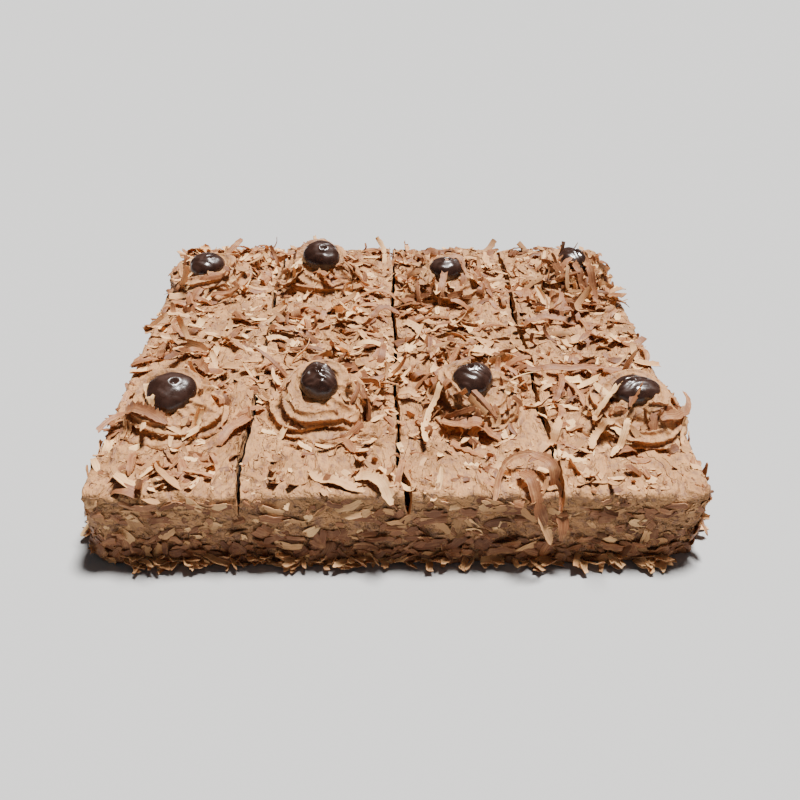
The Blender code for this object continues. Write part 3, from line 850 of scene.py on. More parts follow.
# Drops: where the dimple lies, the folds' turn, strength and number, the tilt, and stretch in depth and width
DROP_SKINS = {
    "front_1": ((0.18, -0.02), 0.4, 0.25, 2.0, 0.30, 1.02, 1.17),
    "front_2": ((0.02, -0.02), 0.05, 1.05, 3.6, 0.24, 0.98, 1.08),
    "front_3": ((-0.15, 0.25), 0.5, 0.70, 2.8, 0.28, 1.06, 1.06),
    "front_4": ((-0.28, 0.10), -0.6, 0.60, 2.2, 0.15, 1.02, 1.15),
    "back_1": ((0.20, -0.10), 0.3, 0.45, 2.2, 0.14, 1.00, 1.06),
    "back_2": ((0.12, -0.20), -0.2, 0.40, 2.2, 0.26, 1.04, 1.06),
    "back_3": ((0.00, -0.05), 0.2, 0.45, 2.0, 0.14, 1.00, 1.06),
    "back_4": ((0.10, 0.00), 0.7, 0.45, 2.0, 0.10, 1.00, 1.06),
}
DROP_SIDES = 72
DROP_LEVELS = 44
DROP_SINK = 0.0016
DROP_BELLY = 0.10


def drop_shape(portion):
    """A drop: a thick wet blob with a dimple in its skin and folds where it came to rest."""
    low, high = (Vector(corner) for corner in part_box(f"{portion.name}_ganache"))
    middle = (low + high) / 2
    half = (high - low) / 2
    (dimple_x, dimple_y), turn, folds, count, tilt, deeper, wider = DROP_SKINS[portion.name]
    drop = bmesh.new()
    bmesh.ops.create_uvsphere(drop, u_segments=DROP_SIDES, v_segments=DROP_LEVELS, radius=1.0)
    for vert in drop.verts:
        x, y, z = vert.co
        angle = math.atan2(y, x)
        edge = 1.0 + 0.05 * math.sin(2 * angle + portion.seed) + 0.035 * math.sin(3 * angle - portion.seed)
        edge += 0.045 * grain(math.cos(angle) * 1.7, math.sin(angle) * 1.7, portion.seed)
        broad = abs(z) ** 0.8 * (1 if z > 0 else -1)
        height = DROP_BELLY * (1.0 + broad)
        if z > 0:
            away = math.hypot(x - dimple_x, y - dimple_y)
            across = x * math.sin(turn) + y * math.cos(turn)
            height = DROP_BELLY + (1.0 - DROP_BELLY) * broad**0.9
            rim = math.exp(-(((away - 0.20) / 0.09) ** 2))
            pit = math.exp(-((away / 0.15) ** 2))
            warp = 0.35 * grain(x * 1.5, y * 1.5, portion.seed + 3.0)
            wave = math.sin(math.tau * count * (across + warp) / 2)
            fade = ease(z * 2.2) * (0.35 + 0.65 * ease(away * 1.6))
            height += 0.06 * rim - 0.13 * pit + 0.085 * folds * (abs(wave) ** 1.3 - 0.5) * fade
            height += 0.03 * grain(x * 2.6, y * 2.6, portion.seed) * ease(z * 2.0)
        place = Vector((half.x * x * edge * wider, half.y * y * edge * deeper, (high.z - low.z) * height))
        place.z += place.y * math.tan(tilt)
        vert.co = Vector((middle.x, middle.y, low.z - DROP_SINK)) + place
    return drop


SPONGE_CELLS = (34, 66, 16)


def turn_corner(portion, point, inset, corner):
    """Move a point of a block in so that the block's outer upright corner is round."""
    in_x = HALF_WIDTH - inset - abs(point.x)
    in_y = HALF_DEPTH - inset - abs(point.y)
    outer = (portion.outer_left and point.x < 0) or (portion.outer_right and point.x > 0)
    if not outer or (point.y < 0) != portion.outer_front or in_x >= corner or in_y >= corner:
        return
    share = Vector((1.0 - in_x / corner, 1.0 - in_y / corner))
    if share.length > 0.0:
        shrunk = onto_arc(share)
        point.x = math.copysign(HALF_WIDTH - inset - corner * (1.0 - shrunk.x), point.x)
        point.y = math.copysign(HALF_DEPTH - inset - corner * (1.0 - shrunk.y), point.y)


def sponge_shape(portion):
    """The sponge block, its cut walls torn into open crumb."""
    block = gridded_block(SPONGE_CELLS)
    for vert in block.verts:
        share = vert.co.copy()
        point = portion.place(share, SIDE_COAT, SLAB_HEIGHT - TOP_COAT)
        turn_corner(portion, point, SIDE_COAT, room_corner(portion) + 2 * GAP)
        torn = 0.0005 + 0.0009 * abs(grain(point.x * 260, point.y * 260, point.z * 260))
        torn += 0.0006 * grain(point.x * 700, point.y * 700, point.z * 700)
        torn = max(torn, 0.0) * ease(point.z / 0.001)
        if share.x in (0.0, 1.0):
            point.x += torn * (1 if share.x == 0.0 else -1)
        if share.y in (0.0, 1.0):
            point.y += torn * (1 if share.y == 0.0 else -1)
        vert.co = point
    return block


# Shavings: seeds of their places, the step of the beds that they lie on, and their thickness
TOP_SEED = 11
SIDE_SEED = 30
BED_STEP = 0.001
SHAVING_THICK = 0.00030


def ribbon_sheet(cells):
    """A flat closed sheet one unit long and wide: its upper layer at z 0, its lower at z -1."""
    sheet = bmesh.new()
    bmesh.ops.create_grid(sheet, x_segments=cells, y_segments=2, size=0.5)
    under = bmesh.ops.extrude_face_region(sheet, geom=sheet.faces[:], use_keep_orig=True)
    for item in under["geom"]:
        if isinstance(item, bmesh.types.BMVert):
            item.co.z = -1.0
    bmesh.ops.recalc_face_normals(sheet, faces=sheet.faces)
    sheet.verts.index_update()
    return sheet


def sheet_arrays(sheet):
    """Corners and faces of a sheet, which is used up."""
    corners = np.array([vert.co[:] for vert in sheet.verts])
    faces = np.array([[vert.index for vert in face.verts] for face in sheet.faces])
    sheet.free()
    return corners, faces


class Ribbon:
    """One shaving's shape: corners, faces, which side each corner is on, and its place along."""

    def __init__(self, length, width, curl, hook, sweep, twist, cup, ragged, cells, rng):
        sheet = ribbon_sheet(cells)
        toothed = [1.0 - ragged * (column % 2) * rng.uniform(0.5, 1.0) for column in range(cells + 1)]
        plain = [1.0 - 0.4 * ragged * rng.random() for _ in range(cells + 1)]
        first, last = rng.uniform(0.50, 1.0), rng.uniform(0.25, 1.0)
        opening, closing = rng.uniform(2.0, 6.0), rng.uniform(1.2, 4.0)
        torn = [rng.uniform(0.0, 0.45) * width for _ in range(6)]
        ripple = rng.uniform(0.0, 0.00022)
        path = self.spine(length, curl, hook, sweep, cells)
        places = []
        sides = []
        for vert in sheet.verts:
            along, across = vert.co.x + 0.5, vert.co.y * 2.0
            column, row = round(along * cells), round(across) + 1
            here, ahead, up = path[column]
            shape = min(1.0, first + along * opening, last + (1.0 - along) * closing)
            half = 0.5 * width * shape * (toothed[column] if across > 0 else plain[column])
            roll = twist * (along - 0.5)
            side = up.cross(ahead)
            out = side * math.cos(roll) + up * math.sin(roll)
            lift = up * math.cos(roll) - side * math.sin(roll)
            places.append((along * length, across * half))
            sides.append(-vert.co.z)
            under = vert.co.z * SHAVING_THICK
            vert.co = here + out * (across * half)
            vert.co += lift * (cup * across * across * half + ripple * (-1) ** column + under)
            if column == 0:
                vert.co += ahead * torn[row]
            if column == cells:
                vert.co -= ahead * torn[row + 3]
        self.corners, self.faces = sheet_arrays(sheet)
        self.corners -= self.corners.mean(axis=0)
        self.side = np.array(sides)
        self.places = np.array(places)

    @staticmethod
    def spine(length, curl, hook, sweep, cells):
        """Place, direction and up of each cell's end along the ribbon, its far end hooked over."""
        step = length / cells
        here = Vector((-length / 2, 0.0, 0.0))
        path = []
        for number in range(cells + 1):
            share = number / cells
            slope = curl * (share - 0.5) + hook * ease((share - 0.45) / 0.55)
            bend = sweep * (share - 0.5)
            flat = math.cos(slope)
            ahead = Vector((flat * math.cos(bend), flat * math.sin(bend), math.sin(slope)))
            level = Vector((-math.sin(bend), math.cos(bend), 0.0))
            path.append((here.copy(), ahead, ahead.cross(level)))
            here += ahead * step
        return path


def ribbon_kit(seed, count, lengths, widths, curls, hooks, ragged, cells):
    """A set of shavings of one kind, each with its own bend and edge."""
    rng = random.Random(seed)
    kit = []
    for _ in range(count):
        kit.append(
            Ribbon(
                length=rng.uniform(*lengths),
                width=rng.uniform(*widths),
                curl=rng.uniform(*curls) * rng.choice((1, 1, 1, -1)),
                hook=rng.uniform(*hooks) * rng.choice((0, 0, 1, -0.5)),
                sweep=rng.uniform(-1.1, 1.1),
                twist=rng.uniform(-0.5, 0.5),
                cup=rng.uniform(-0.30, 0.60),
                ragged=rng.uniform(0.4, 1.0) * ragged,
                cells=cells,
                rng=rng,
            )
        )
    return kit


class Heap:
    """Shavings gathered into one mesh."""

    def __init__(self, name):
        self.name = name
        self.corners, self.faces, self.side, self.tint, self.places = [], [], [], [], []
        self.count = 0

    def add(self, corners, ribbon, tint, rng):
        """Take in a shaving that has been laid."""
        self.corners.append(corners)
        self.faces.append(ribbon.faces + self.count)
        self.side.append(ribbon.side)
        self.tint.append(np.full(len(corners), tint))
        self.places.append(ribbon.places + np.array((rng.uniform(0, 9), rng.uniform(0, 9))))
        self.count += len(corners)

    def show(self, material):
        """The heap as one piece, with its sides, tints and streak directions."""
        mesh = bpy.data.meshes.new(self.name)
        corners = np.concatenate(self.corners)
        faces = np.concatenate(self.faces)
        mesh.from_pydata(corners.tolist(), [], faces.tolist())
        for name, values in (("side", self.side), ("tint", self.tint)):
            layer = mesh.attributes.new(name, "FLOAT", "POINT")
            layer.data.foreach_set("value", np.concatenate(values).astype(np.float32))
        chart = mesh.uv_layers.new(name="ribbon")
        places = np.concatenate(self.places)[faces.ravel()]
        chart.data.foreach_set("uv", places.astype(np.float32).ravel())
        return show_mesh(self.name, mesh, material, "shavings")


class Bed:
    """What shavings lie on: its heights over a flat frame, raised by every shaving laid."""

    def __init__(self, seat, half_x, low_y, high_y, tree, plain):
        self.seat = seat
        self.turn = np.array(seat.to_3x3())
        self.origin = np.array(seat.translation)
        self.low = np.array((-half_x, low_y))
        self.high = np.array((half_x, high_y))
        counts = np.ceil((self.high - self.low) / BED_STEP).astype(int) + 1
        down = seat.to_3x3() @ Vector((0, 0, -1))
        heights = np.full(counts, np.nan)
        for i in range(counts[0]):
            for j in range(counts[1]):
                start = seat @ Vector((self.low[0] + i * BED_STEP, self.low[1] + j * BED_STEP, 0.05))
                hit, _, _, distance = tree.ray_cast(start, down, 0.06)
                if hit is not None:
                    heights[i, j] = 0.05 - distance
        self.heights = heights
        level = np.where(np.isnan(heights), plain, heights)
        for _ in range(4):
            wide = np.pad(level, 1, mode="edge")
            inner = slice(1, -1)
            level = (
                wide[1:-1, 1:-1] * 2 + wide[:-2, inner] + wide[2:, inner] + wide[inner, :-2] + wide[inner, 2:]
            ) / 6
        self.slopes = np.gradient(level, BED_STEP)

    def cells(self, points):
        """The cells that points are over, and which of the points are over the bed."""
        spots = np.round((points[:, :2] - self.low) / BED_STEP).astype(int)
        inside = (spots >= 0).all(axis=1) & (spots < self.heights.shape).all(axis=1)
        spots = np.clip(spots, 0, np.array(self.heights.shape) - 1)
        return spots[:, 0], spots[:, 1], inside

    def normal(self, x, y):
        """Which way the bed faces at a place."""
        i, j, _ = self.cells(np.array([[x, y]]))
        normal = Vector((-self.slopes[0][i[0], j[0]], -self.slopes[1][i[0], j[0]], 1.0))
        return normal.normalized()

    def lay(self, corners, x, y, rest, climb):
        """Corners set down at a place, so that only a share of them is under what they lie on."""
        points = corners + np.array((x, y, 0.0))
        i, j, inside = self.cells(points)
        ground = np.where(inside, self.heights[i, j], np.nan)
        held = ~np.isnan(ground)
        if held.mean() < 0.6:
            return None
        gaps = (points[:, 2] - ground)[held]
        points[:, 2] -= np.quantile(gaps, rest)
        raised = np.minimum(points[held, 2], ground[held] + climb)
        np.maximum.at(self.heights, (i[held], j[held]), raised)
        return points

    def world(self, points):
        """Points of the bed's frame as places in the scene."""
        return points @ self.turn.T + self.origin


def laid_turn(normal, heading, pitch, roll, over):
    """A shaving's turn: lying along a slope, headed, tipped and perhaps turned over."""
    slope = Vector((0, 0, 1)).rotation_difference(normal).to_matrix()
    turn = slope @ Matrix.Rotation(heading, 3, "Z") @ Matrix.Rotation(pitch, 3, "Y")
    return turn @ Matrix.Rotation(roll + (math.pi if over else 0.0), 3, "X")


def strew(heap, bed, kit, cover, count, rng, manner):
    """Lay shavings over a bed, as thickly as the cover asks at each place."""
    laid = 0
    tries = 0
    while laid < count and tries < count * 40:
        tries += 1
        x = rng.uniform(bed.low[0], bed.high[0])
        y = rng.uniform(bed.low[1], bed.high[1])
        thick = cover(x, y)
        if rng.random() > thick:
            continue
        ribbon = rng.choice(kit)
        tip = 3.0 if rng.random() < manner.perky else 1.0
        turn = laid_turn(
            bed.normal(x, y),
            manner.heading(rng),
            rng.gauss(0.0, manner.pitch * tip),
            rng.gauss(0.0, manner.roll * tip),
            rng.random() < manner.brown(y),
        )
        corners = ribbon.corners @ np.array(turn).T * rng.uniform(0.75, 1.2)
        sunk = manner.sunk + 0.16 * ease((0.55 - thick) / 0.35)
        points = bed.lay(corners, x, y, sunk, manner.climb)
        if points is None:
            continue
        places = bed.world(points)
        places[:, 2] = np.maximum(places[:, 2], manner.lowest)
        heap.add(places, ribbon, manner.tint(y, rng), rng)
        laid += 1
    return laid


class Manner:
    """How shavings come to lie: how level, how deep, which way they point and which side is up."""

    def __init__(self, pitch, roll, perky, sunk, climb, on_side=False):
        self.pitch, self.roll, self.perky, self.sunk, self.climb = pitch, roll, perky, sunk, climb
        self.on_side = on_side
        self.lowest = 0.0002 if on_side else -1.0

    def heading(self, rng):
        """Which way a shaving points: mostly level on a side."""
        if self.on_side and rng.random() < 0.7:
            return rng.gauss(0.0, 0.45) + rng.choice((0.0, math.pi))
        return rng.uniform(0.0, math.tau)

    def brown(self, y):
        """How likely a shaving's brown side is up."""
        return 0.55 + 0.37 * ease((0.020 - y) / 0.010) if self.on_side else 0.42

    def tint(self, y, rng):
        """How pale a shaving is: darker low on a side."""
        if self.on_side:
            return rng.random() * (0.90 - 0.28 * ease((0.018 - y) / 0.012))
        return rng.random()


def fringe(heap, seat, half, kit, count, rng):
    """Flakes that lie about the foot of a side, their ends sticking out over the floor."""
    for _ in range(count):
        ribbon = rng.choice(kit)
        along = rng.uniform(-half, half) * 0.88
        heading = rng.gauss(-math.pi / 2, 0.9)
        pitch = rng.gauss(0.12, 0.22)
        turn = Matrix.Rotation(heading, 3, "Z") @ Matrix.Rotation(-pitch, 3, "Y")
        turn = turn @ Matrix.Rotation(rng.gauss(0.0, 0.35), 3, "X")
        points = ribbon.corners @ np.array(turn).T * rng.uniform(0.7, 1.1)
        out = seat.to_3x3() @ Vector((0.0, 0.0, 1.0))
        way = seat.to_3x3() @ Vector((1.0, 0.0, 0.0))
        facing = Matrix((way, -out, (0, 0, 1))).transposed()
        points = points @ np.array(facing).T
        middle = seat.translation + way * along - out * rng.uniform(-0.0052, 0.0006)
        points[:, :2] += np.array(middle)[:2]
        points[:, 2] += rng.uniform(0.0, 0.003) + 0.0002 - points[:, 2].min()
        heap.add(points, ribbon, 0.30 + rng.random() * 0.60, rng)


# Curls that lie by themselves, in millimetres: width, side up, lean, and the way (x, y, lift)
CURLS = (
    (4.0, 1, 0.5, ((57, -27, 1), (68, -32, 3), (80, -33, 4), (100, -29, 2), (117, -29, 1))),
    (3.4, 1, 0.9, ((39, -132, 0), (41, -122, 4), (46, -113, 6), (54, -108, 7), (60, -110, 7))),
    (
        5.0, 1, 0.5,
        ((56, -109, 7), (61, -112, 7), (65, -119, 7), (67, -127, 4), (68, -134, -1), (67, -136, -7)),
    ),
    (5.4, 1, 0.4, ((51, -117, 3), (54, -123, 5), (56, -130, 3), (57, -135, -3), (60, -136, -10))),
    (4.4, 0, 0.3, ((57, -135, -6), (60, -137, -12), (63, -137, -19))),
    (6.6, 0, 0.0, ((-37, -117, 0), (-30, -120, 0), (-22, -123, 1), (-14, -128, 0))),
    (5.4, 0, 0.4, ((-18, -117, 0), (-12, -121, 3), (-6, -127, 4), (-3, -134, -1))),
    (5.0, 1, 0.9, ((116, -89, 3), (127, -84, 4), (133, -73, 4), (134, -61, 3))),
    (8.0, 1, 0.1, ((20, -81, 2), (30, -86, 3), (38, -86, 3), (45, -92, 1))),
    (4.5, 1, 0.4, ((113, -58, 2), (111, -68, 4), (107, -77, 5), (103, -84, 2))),
    (3.6, 0, 0.5, ((105, -61, 3), (101, -71, 5), (95, -78, 5), (88, -83, 2))),
    (3.4, 0, 0.3, ((102, -87, 3), (100, -94, 4), (96, -99, 3), (92, -104, 1))),
    (3.6, 0, 0.2, ((25, -59, 2), (19, -68, 4), (14, -76, 4), (13, -86, 3), (12, -96, 1))),
    (4.0, 1, 0.3, ((15, -39, 1), (17, -47, 4), (18, -54, 4), (18, -61, 2))),
    (4.4, 0, 0.6, ((-1, -52, 2), (3, -55, 4), (7, -55, 4), (11, -58, 2))),
    (6.5, 0, 0.2, ((36, -13, 1), (42, -15, 3), (48, -15, 3), (54, -18, 1))),
    (5.0, 1, 0.5, ((34, -7, 2), (33, -14, 4), (30, -20, 4), (28, -26, 2))),
    (5.0, 1, 0.2, ((-78, -93, 1), (-75, -85, 3), (-71, -79, 3), (-66, -71, 2))),
    (4.0, 1, 0.6, ((-70, -61, 1), (-69, -66, 3), (-68, -71, 3), (-67, -76, 1))),
    (6.0, 1, 0.8, ((-121, -79, 1), (-114, -82, 3), (-108, -83, 3), (-101, -88, 1))),
    (5.0, 1, 0.7, ((-98, -19, 1), (-97, -24, 3), (-95, -29, 3), (-92, -34, 1))),
    (6.0, 1, 0.6, ((-115, -2, 1), (-117, -7, 3), (-118, -11, 3), (-118, -16, 1))),
    (7.0, 1, 0.0, ((-102, -107, 1), (-99, -109, 0), (-95, -109, 0), (-93, -107, 1))),
    (4.0, 1, 0.2, ((-112, -101, 1), (-113, -106, 2), (-112, -110, 2), (-112, -116, 1))),
    (4.0, 0, 0.4, ((-112, -64, 2), (-112, -70, 4), (-110, -75, 4), (-108, -81, 2))),
    (3.8, 1, 0.5, ((48, 90, 1), (51, 80, 4), (54, 69, 4), (57, 58, 1))),
    (4.2, 1, 0.1, ((26, 44, 1), (28, 56, 4), (32, 67, 7), (36, 70, 7), (39, 66, 5), (41, 60, 1))),
    (4.5, 1, 0.6, ((104, 86, 2), (109, 76, 4), (112, 62, 4), (115, 47, 1))),
    (4.0, 1, 0.4, ((98, 84, 2), (103, 72, 4), (105, 60, 3), (109, 50, 1))),
    (4.5, 0, 0.5, ((-20, 96, 1), (-24, 102, 5), (-30, 104, 6), (-36, 100, 3))),
    (4.0, 1, 0.2, ((-12, 30, 1), (-8, 36, 5), (-2, 37, 5), (3, 33, 1))),
    (4.5, 1, 0.3, ((70, 20, 1), (78, 24, 4), (88, 24, 4), (98, 20, 1))),
    (4.2, 0, 0.3, ((62, -100, 1), (68, -92, 4), (72, -84, 4), (74, -74, 1))),
    (4.0, 0, 0.2, ((84, -100, 1), (86, -92, 4), (90, -88, 4), (96, -88, 1))),
    (3.6, 1, 0.4, ((74, -60, 1), (78, -52, 4), (80, -44, 4), (80, -34, 1))),
)
CURL_CELLS = 26


def smooth_way(points, count):
    """A smooth way through points, as many places as asked, evenly spaced."""
    rough = np.array(points, dtype=float)
    for _ in range(4):
        near = rough[:-1] * 0.75 + rough[1:] * 0.25
        far = rough[:-1] * 0.25 + rough[1:] * 0.75
        rough = np.concatenate((rough[:1], np.stack((near, far), 1).reshape(-1, 3), rough[-1:]))
    run = np.concatenate(((0.0,), np.cumsum(np.linalg.norm(np.diff(rough, axis=0), axis=1))))
    spots = np.linspace(0.0, run[-1], count)
    return np.stack([np.interp(spots, run, rough[:, axis]) for axis in range(3)], 1), run[-1]


class Curl:
    """One long curl along a way over the bed, as a ribbon to be gathered in a heap."""

    def __init__(self, width, brown, lean, way, bed, rng):
        spots = [(x / 1000, y / 1000, lift / 1000) for x, y, lift in way]
        path, length = smooth_way(spots, CURL_CELLS + 1)
        i, j, inside = bed.cells(path)
        ground = np.where(inside, bed.heights[i, j], np.nan)
        beside = SLAB_HEIGHT if np.isnan(ground).all() else np.nanmin(ground)
        ground = np.where(np.isnan(ground), beside, ground)
        for _ in range(3):
            ground[1:-1] = (ground[:-2] + ground[1:-1] * 2 + ground[2:]) / 4
        path[:, 2] += ground
        sheet = ribbon_sheet(CURL_CELLS)
        ahead = np.gradient(path, axis=0)
        ahead /= np.linalg.norm(ahead, axis=1)[:, None]
        across = Vector((-ahead[0][1], ahead[0][0], 0.0)).normalized()
        frames = []
        for direction in ahead:
            direction = Vector(direction)
            across = (across - direction * across.dot(direction)).normalized()
            frames.append((direction, across, direction.cross(across)))
        toothed = [1.0 - 0.62 * (column % 2) * rng.random() for column in range(CURL_CELLS + 1)]
        plain = [1.0 - 0.20 * rng.random() for column in range(CURL_CELLS + 1)]
        places = []
        sides = []
        for vert in sheet.verts:
            along, side = vert.co.x + 0.5, vert.co.y * 2.0
            column = round(along * CURL_CELLS)
            direction, out, up = frames[column]
            taper = min(1.0, 0.50 + along * 5.0, 0.34 + (1.0 - along) * 4.2)
            half = 0.0005 * width * taper * (toothed[column] if side > 0 else plain[column])
            roll = lean * (0.4 + 0.6 * math.sin(math.pi * along))
            flat = out * math.cos(roll) + up * math.sin(roll)
            lift = up * math.cos(roll) - out * math.sin(roll)
            places.append((along * length, side * half))
            sides.append(abs(brown + vert.co.z))
            under = vert.co.z * SHAVING_THICK
            vert.co = Vector(path[column]) + flat * (side * half) + lift * (0.30 * side * side * half + under)
        self.corners, self.faces = sheet_arrays(sheet)
        self.side = np.array(sides)
        self.places = np.array(places)


# Bare cream in plan: middle, reach across and along, and how bare
BARE_PATCHES = (
    (-0.122, -0.106, 0.014, 0.014, 0.85),
    (-0.096, -0.100, 0.012, 0.014, 0.55),
    (-0.078, -0.045, 0.007, 0.030, 0.90),
    (-0.080, -0.115, 0.009, 0.012, 0.55),
    (-0.045, -0.103, 0.018, 0.013, 0.88),
    (-0.030, -0.117, 0.014, 0.010, 0.70),
    (-0.061, -0.076, 0.006, 0.010, 0.80),
    (-0.010, -0.096, 0.009, 0.014, 0.85),
    (0.029, -0.111, 0.017, 0.020, 0.92),
    (0.010, -0.118, 0.007, 0.012, 0.60),
    (0.056, -0.078, 0.008, 0.013, 0.70),
    (0.114, -0.116, 0.022, 0.020, 1.00),
    (0.125, -0.098, 0.010, 0.014, 0.95),
    (0.086, -0.007, 0.009, 0.010, 0.80),
    (-0.088, 0.050, 0.014, 0.014, 0.95),
    (-0.052, 0.054, 0.012, 0.010, 0.75),
    (-0.022, 0.058, 0.008, 0.012, 0.60),
    (0.046, 0.038, 0.012, 0.010, 0.75),
    (0.118, 0.034, 0.009, 0.009, 0.60),
    (0.053, 0.078, 0.007, 0.014, 0.60),
)
# How much of each swirl is covered
SWIRL_COVERS = {
    "front_1": 0.18,
    "front_2": 0.12,
    "front_3": 0.50,
    "front_4": 0.24,
    "back_1": 0.45,
    "back_2": 0.55,
    "back_3": 0.45,
    "back_4": 0.85,
}
DROP_KEEP_OFF = {"back_4": 0.45}


def drop_middles():
    """Middle and half size of each drop."""
    places = {}
    for portion in PORTIONS:
        low, high = (Vector(corner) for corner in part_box(f"{portion.name}_ganache"))
        places[portion.name] = ((low + high) / 2, (high - low) / 2)
    return places


def from_cuts(x, y):
    """How far a place on the top is from the nearest cut."""
    columns = min(abs(x - column_cut_x(number, y)) for number in range(len(COLUMN_CUTS)))
    return min(columns, abs(y - row_cut_y(x)))


def top_cover(x, y):
    """How thickly the shavings lie on the top: bare patches, cuts, and drifts round the swirls."""
    cover = 0.34 + 0.50 * ease((y + 0.105) / 0.035)
    cover = max(cover, 0.95 * math.exp(-(((y - 0.006) / 0.020) ** 2)))
    for bare_x, bare_y, across, along, bare in BARE_PATCHES:
        away = ((x - bare_x) / across) ** 2 + ((y - bare_y) / along) ** 2
        if away < 6.0:
            cover *= 1.0 - bare * math.exp(-away * away * 0.5)
    bridged = 0.35 + 0.6 * math.exp(-(((y + 0.030) / 0.045) ** 2))
    bridged *= ease(0.3 + 2.6 * grain(x * 38, y * 38, 81.0))
    cover *= 0.10 + 0.90 * max(bridged, ease((from_cuts(x, y) - 0.0012) / 0.007))
    cover *= 0.12 + 0.88 * ease(0.5 + 2.4 * grain(x * 48, y * 48, 61.0))
    for name, (middle, half) in DROP_MIDDLES.items():
        from_middle = math.hypot(x - middle.x, y - middle.y)
        keep = DROP_KEEP_OFF.get(name, 1.30)
        if math.hypot((x - middle.x) / half.x, (y - middle.y) / half.y) < keep:
            return 0.0
        if from_middle < 0.025:
            return SWIRL_COVERS[name]
    return cover


def chip_cover(x, y):
    """How thickly the small chips lie: as the shavings, and some on the bare cream too."""
    cover = top_cover(x, y)
    return cover if cover == 0.0 else max(cover, 0.16 + 0.24 * ease(0.5 + 2.5 * grain(x * 80, y * 80, 71.0)))


DROP_MIDDLES = drop_middles()


def side_cover(x, z):
    """How thickly flakes stick to the sides: sparse above, thick at the foot."""
    return 0.30 + 0.70 * ease((0.016 - z) / 0.012)


def side_seats():
    """The frame of each outer side, X along it, Y up and Z outwards, with its half length."""
    return {
        "front": (Matrix(((1, 0, 0, 0), (0, 0, -1, -HALF_DEPTH), (0, 1, 0, 0), (0, 0, 0, 1))), HALF_WIDTH),
        "right": (Matrix(((0, 0, 1, HALF_WIDTH), (1, 0, 0, 0), (0, 1, 0, 0), (0, 0, 0, 1))), HALF_DEPTH),
        "back": (Matrix(((-1, 0, 0, 0), (0, 0, 1, HALF_DEPTH), (0, 1, 0, 0), (0, 0, 0, 1))), HALF_WIDTH),
        "left": (Matrix(((0, 0, -1, -HALF_WIDTH), (-1, 0, 0, 0), (0, 1, 0, 0), (0, 0, 0, 1))), HALF_DEPTH),
    }


def tree_of_pieces(names):
    """A search tree of several finished pieces together."""
    corners = []
    faces = []
    for name in names:
        mesh = bpy.data.objects[name].data
        start = len(corners)
        corners.extend(vert.co.copy() for vert in mesh.vertices)
        faces.extend([start + index for index in face.vertices] for face in mesh.polygons)
    return BVHTree.FromPolygons(corners, faces)


FLOOR_HALF = 4.0
FLOOR_COLOUR = (0.50, 0.500, 0.500)
# Lights: name, kind, place, target, size or angle, power and colour
LIGHTS = (
    ("soft_top", "SUN", (0.17, 0.24, 0.95), (0.0, 0.0, 0.0), math.radians(13), 9.3, (1.0, 0.985, 0.96)),
    ("fill", "AREA", (0.3, -1.2, 0.75), (0.0, 0.0, 0.02), 0.9, 0.10, (0.97, 0.98, 1.0)),
)
WORLD_COLOUR = (0.80, 0.90, 1.0, 1.0)
WORLD_STRENGTH = 0.075
LENS = 43.548
SENSOR_WIDTH = 36.0
NEAR_CLIP = 0.01
CAMERA_PLACE = (-0.00706026, -0.44598089, 0.27278849)
CAMERA_TURN = (58.66637, -0.51783, -0.98425)


def add_light(name, kind, place, target, spread, power, colour):
    """A soft light that looks at a point: a square one, or an even one from far away."""
    light = bpy.data.lights.new(name, kind)
    if kind == "SUN":
        light.angle = spread
    else:
        light.shape = "SQUARE"
        light.size = spread
    light.energy = power
    light.color = colour
    lamp = bpy.data.objects.new(name, light)
    lamp.location = place
    lamp.rotation_euler = (Vector(target) - Vector(place)).to_track_quat("-Z", "Y").to_euler()
    bpy.context.scene.collection.objects.link(lamp)


def colour_setting(name, description, default):
    """A colour that the user can change."""
    return bpy.props.FloatVectorProperty(
        name=name, description=description, default=default, subtype="COLOR", size=3, min=0.0, max=1.0
    )


def count_setting(name, description, default, most):
    """A number of shavings that the user can change."""
    return bpy.props.IntProperty(name=name, description=description, default=default, min=0, max=most)


class CakeCream(bpy.types.PropertyGroup):
    """The chocolate cream of the coats and the swirls."""

    colour: colour_setting("Cream colour", "Colour of the spread and piped cream", (0.54, 0.268, 0.110))
    smear: colour_setting(
        "Smear colour", "Colour of the brown crumbs smeared into the cream", (0.28, 0.140, 0.085)
    )


class CakeShavings(bpy.types.PropertyGroup):
    """The chocolate shavings."""

    pale: colour_setting("Scraped side", "Colour of a shaving's pale scraped side", (0.92, 0.540, 0.262))
    brown: colour_setting("Outer side", "Colour of a shaving's darker outer side", (0.370, 0.160, 0.076))
    top_count: count_setting("Shavings on top", "How many broad shavings lie on the top", 470, 4000)
    side_count: count_setting(
        "Flakes on the sides", "How many broad flakes stick to each outer side", 250, 1000
    )


class CakeGanache(bpy.types.PropertyGroup):
    """The ganache drops."""

    colour: colour_setting("Ganache colour", "Colour of the ganache drops", (0.026, 0.0105, 0.0065))


class CakeSponge(bpy.types.PropertyGroup):
    """The sponge under the cream."""

    colour: colour_setting("Sponge colour", "Colour of the dark sponge", (0.050, 0.026, 0.017))


def shaving_finish(context):
    """The shavings' material, made once."""
    found = bpy.data.materials.get("scraped_chocolate")
    if found:
        return found
    settings = context.scene.cake_shavings
    return shaving_material("scraped_chocolate", tuple(settings.pale), tuple(settings.brown))


class CAKE_OT_sponges(bpy.types.Operator):
    """Make the dark sponge block of every portion"""

    bl_idname = "cake.sponges"
    bl_label = "Sponges"

    def execute(self, context):
        material = sponge_material("dark_sponge", tuple(context.scene.cake_sponge.colour))
        for portion in PORTIONS:
            name = f"{portion.name}_sponge"
            mesh = mesh_of(f"{name}_crumb", sponge_shape(portion))
            show_mesh(mesh.name, mesh, material, "sponge", name)
        return {"FINISHED"}


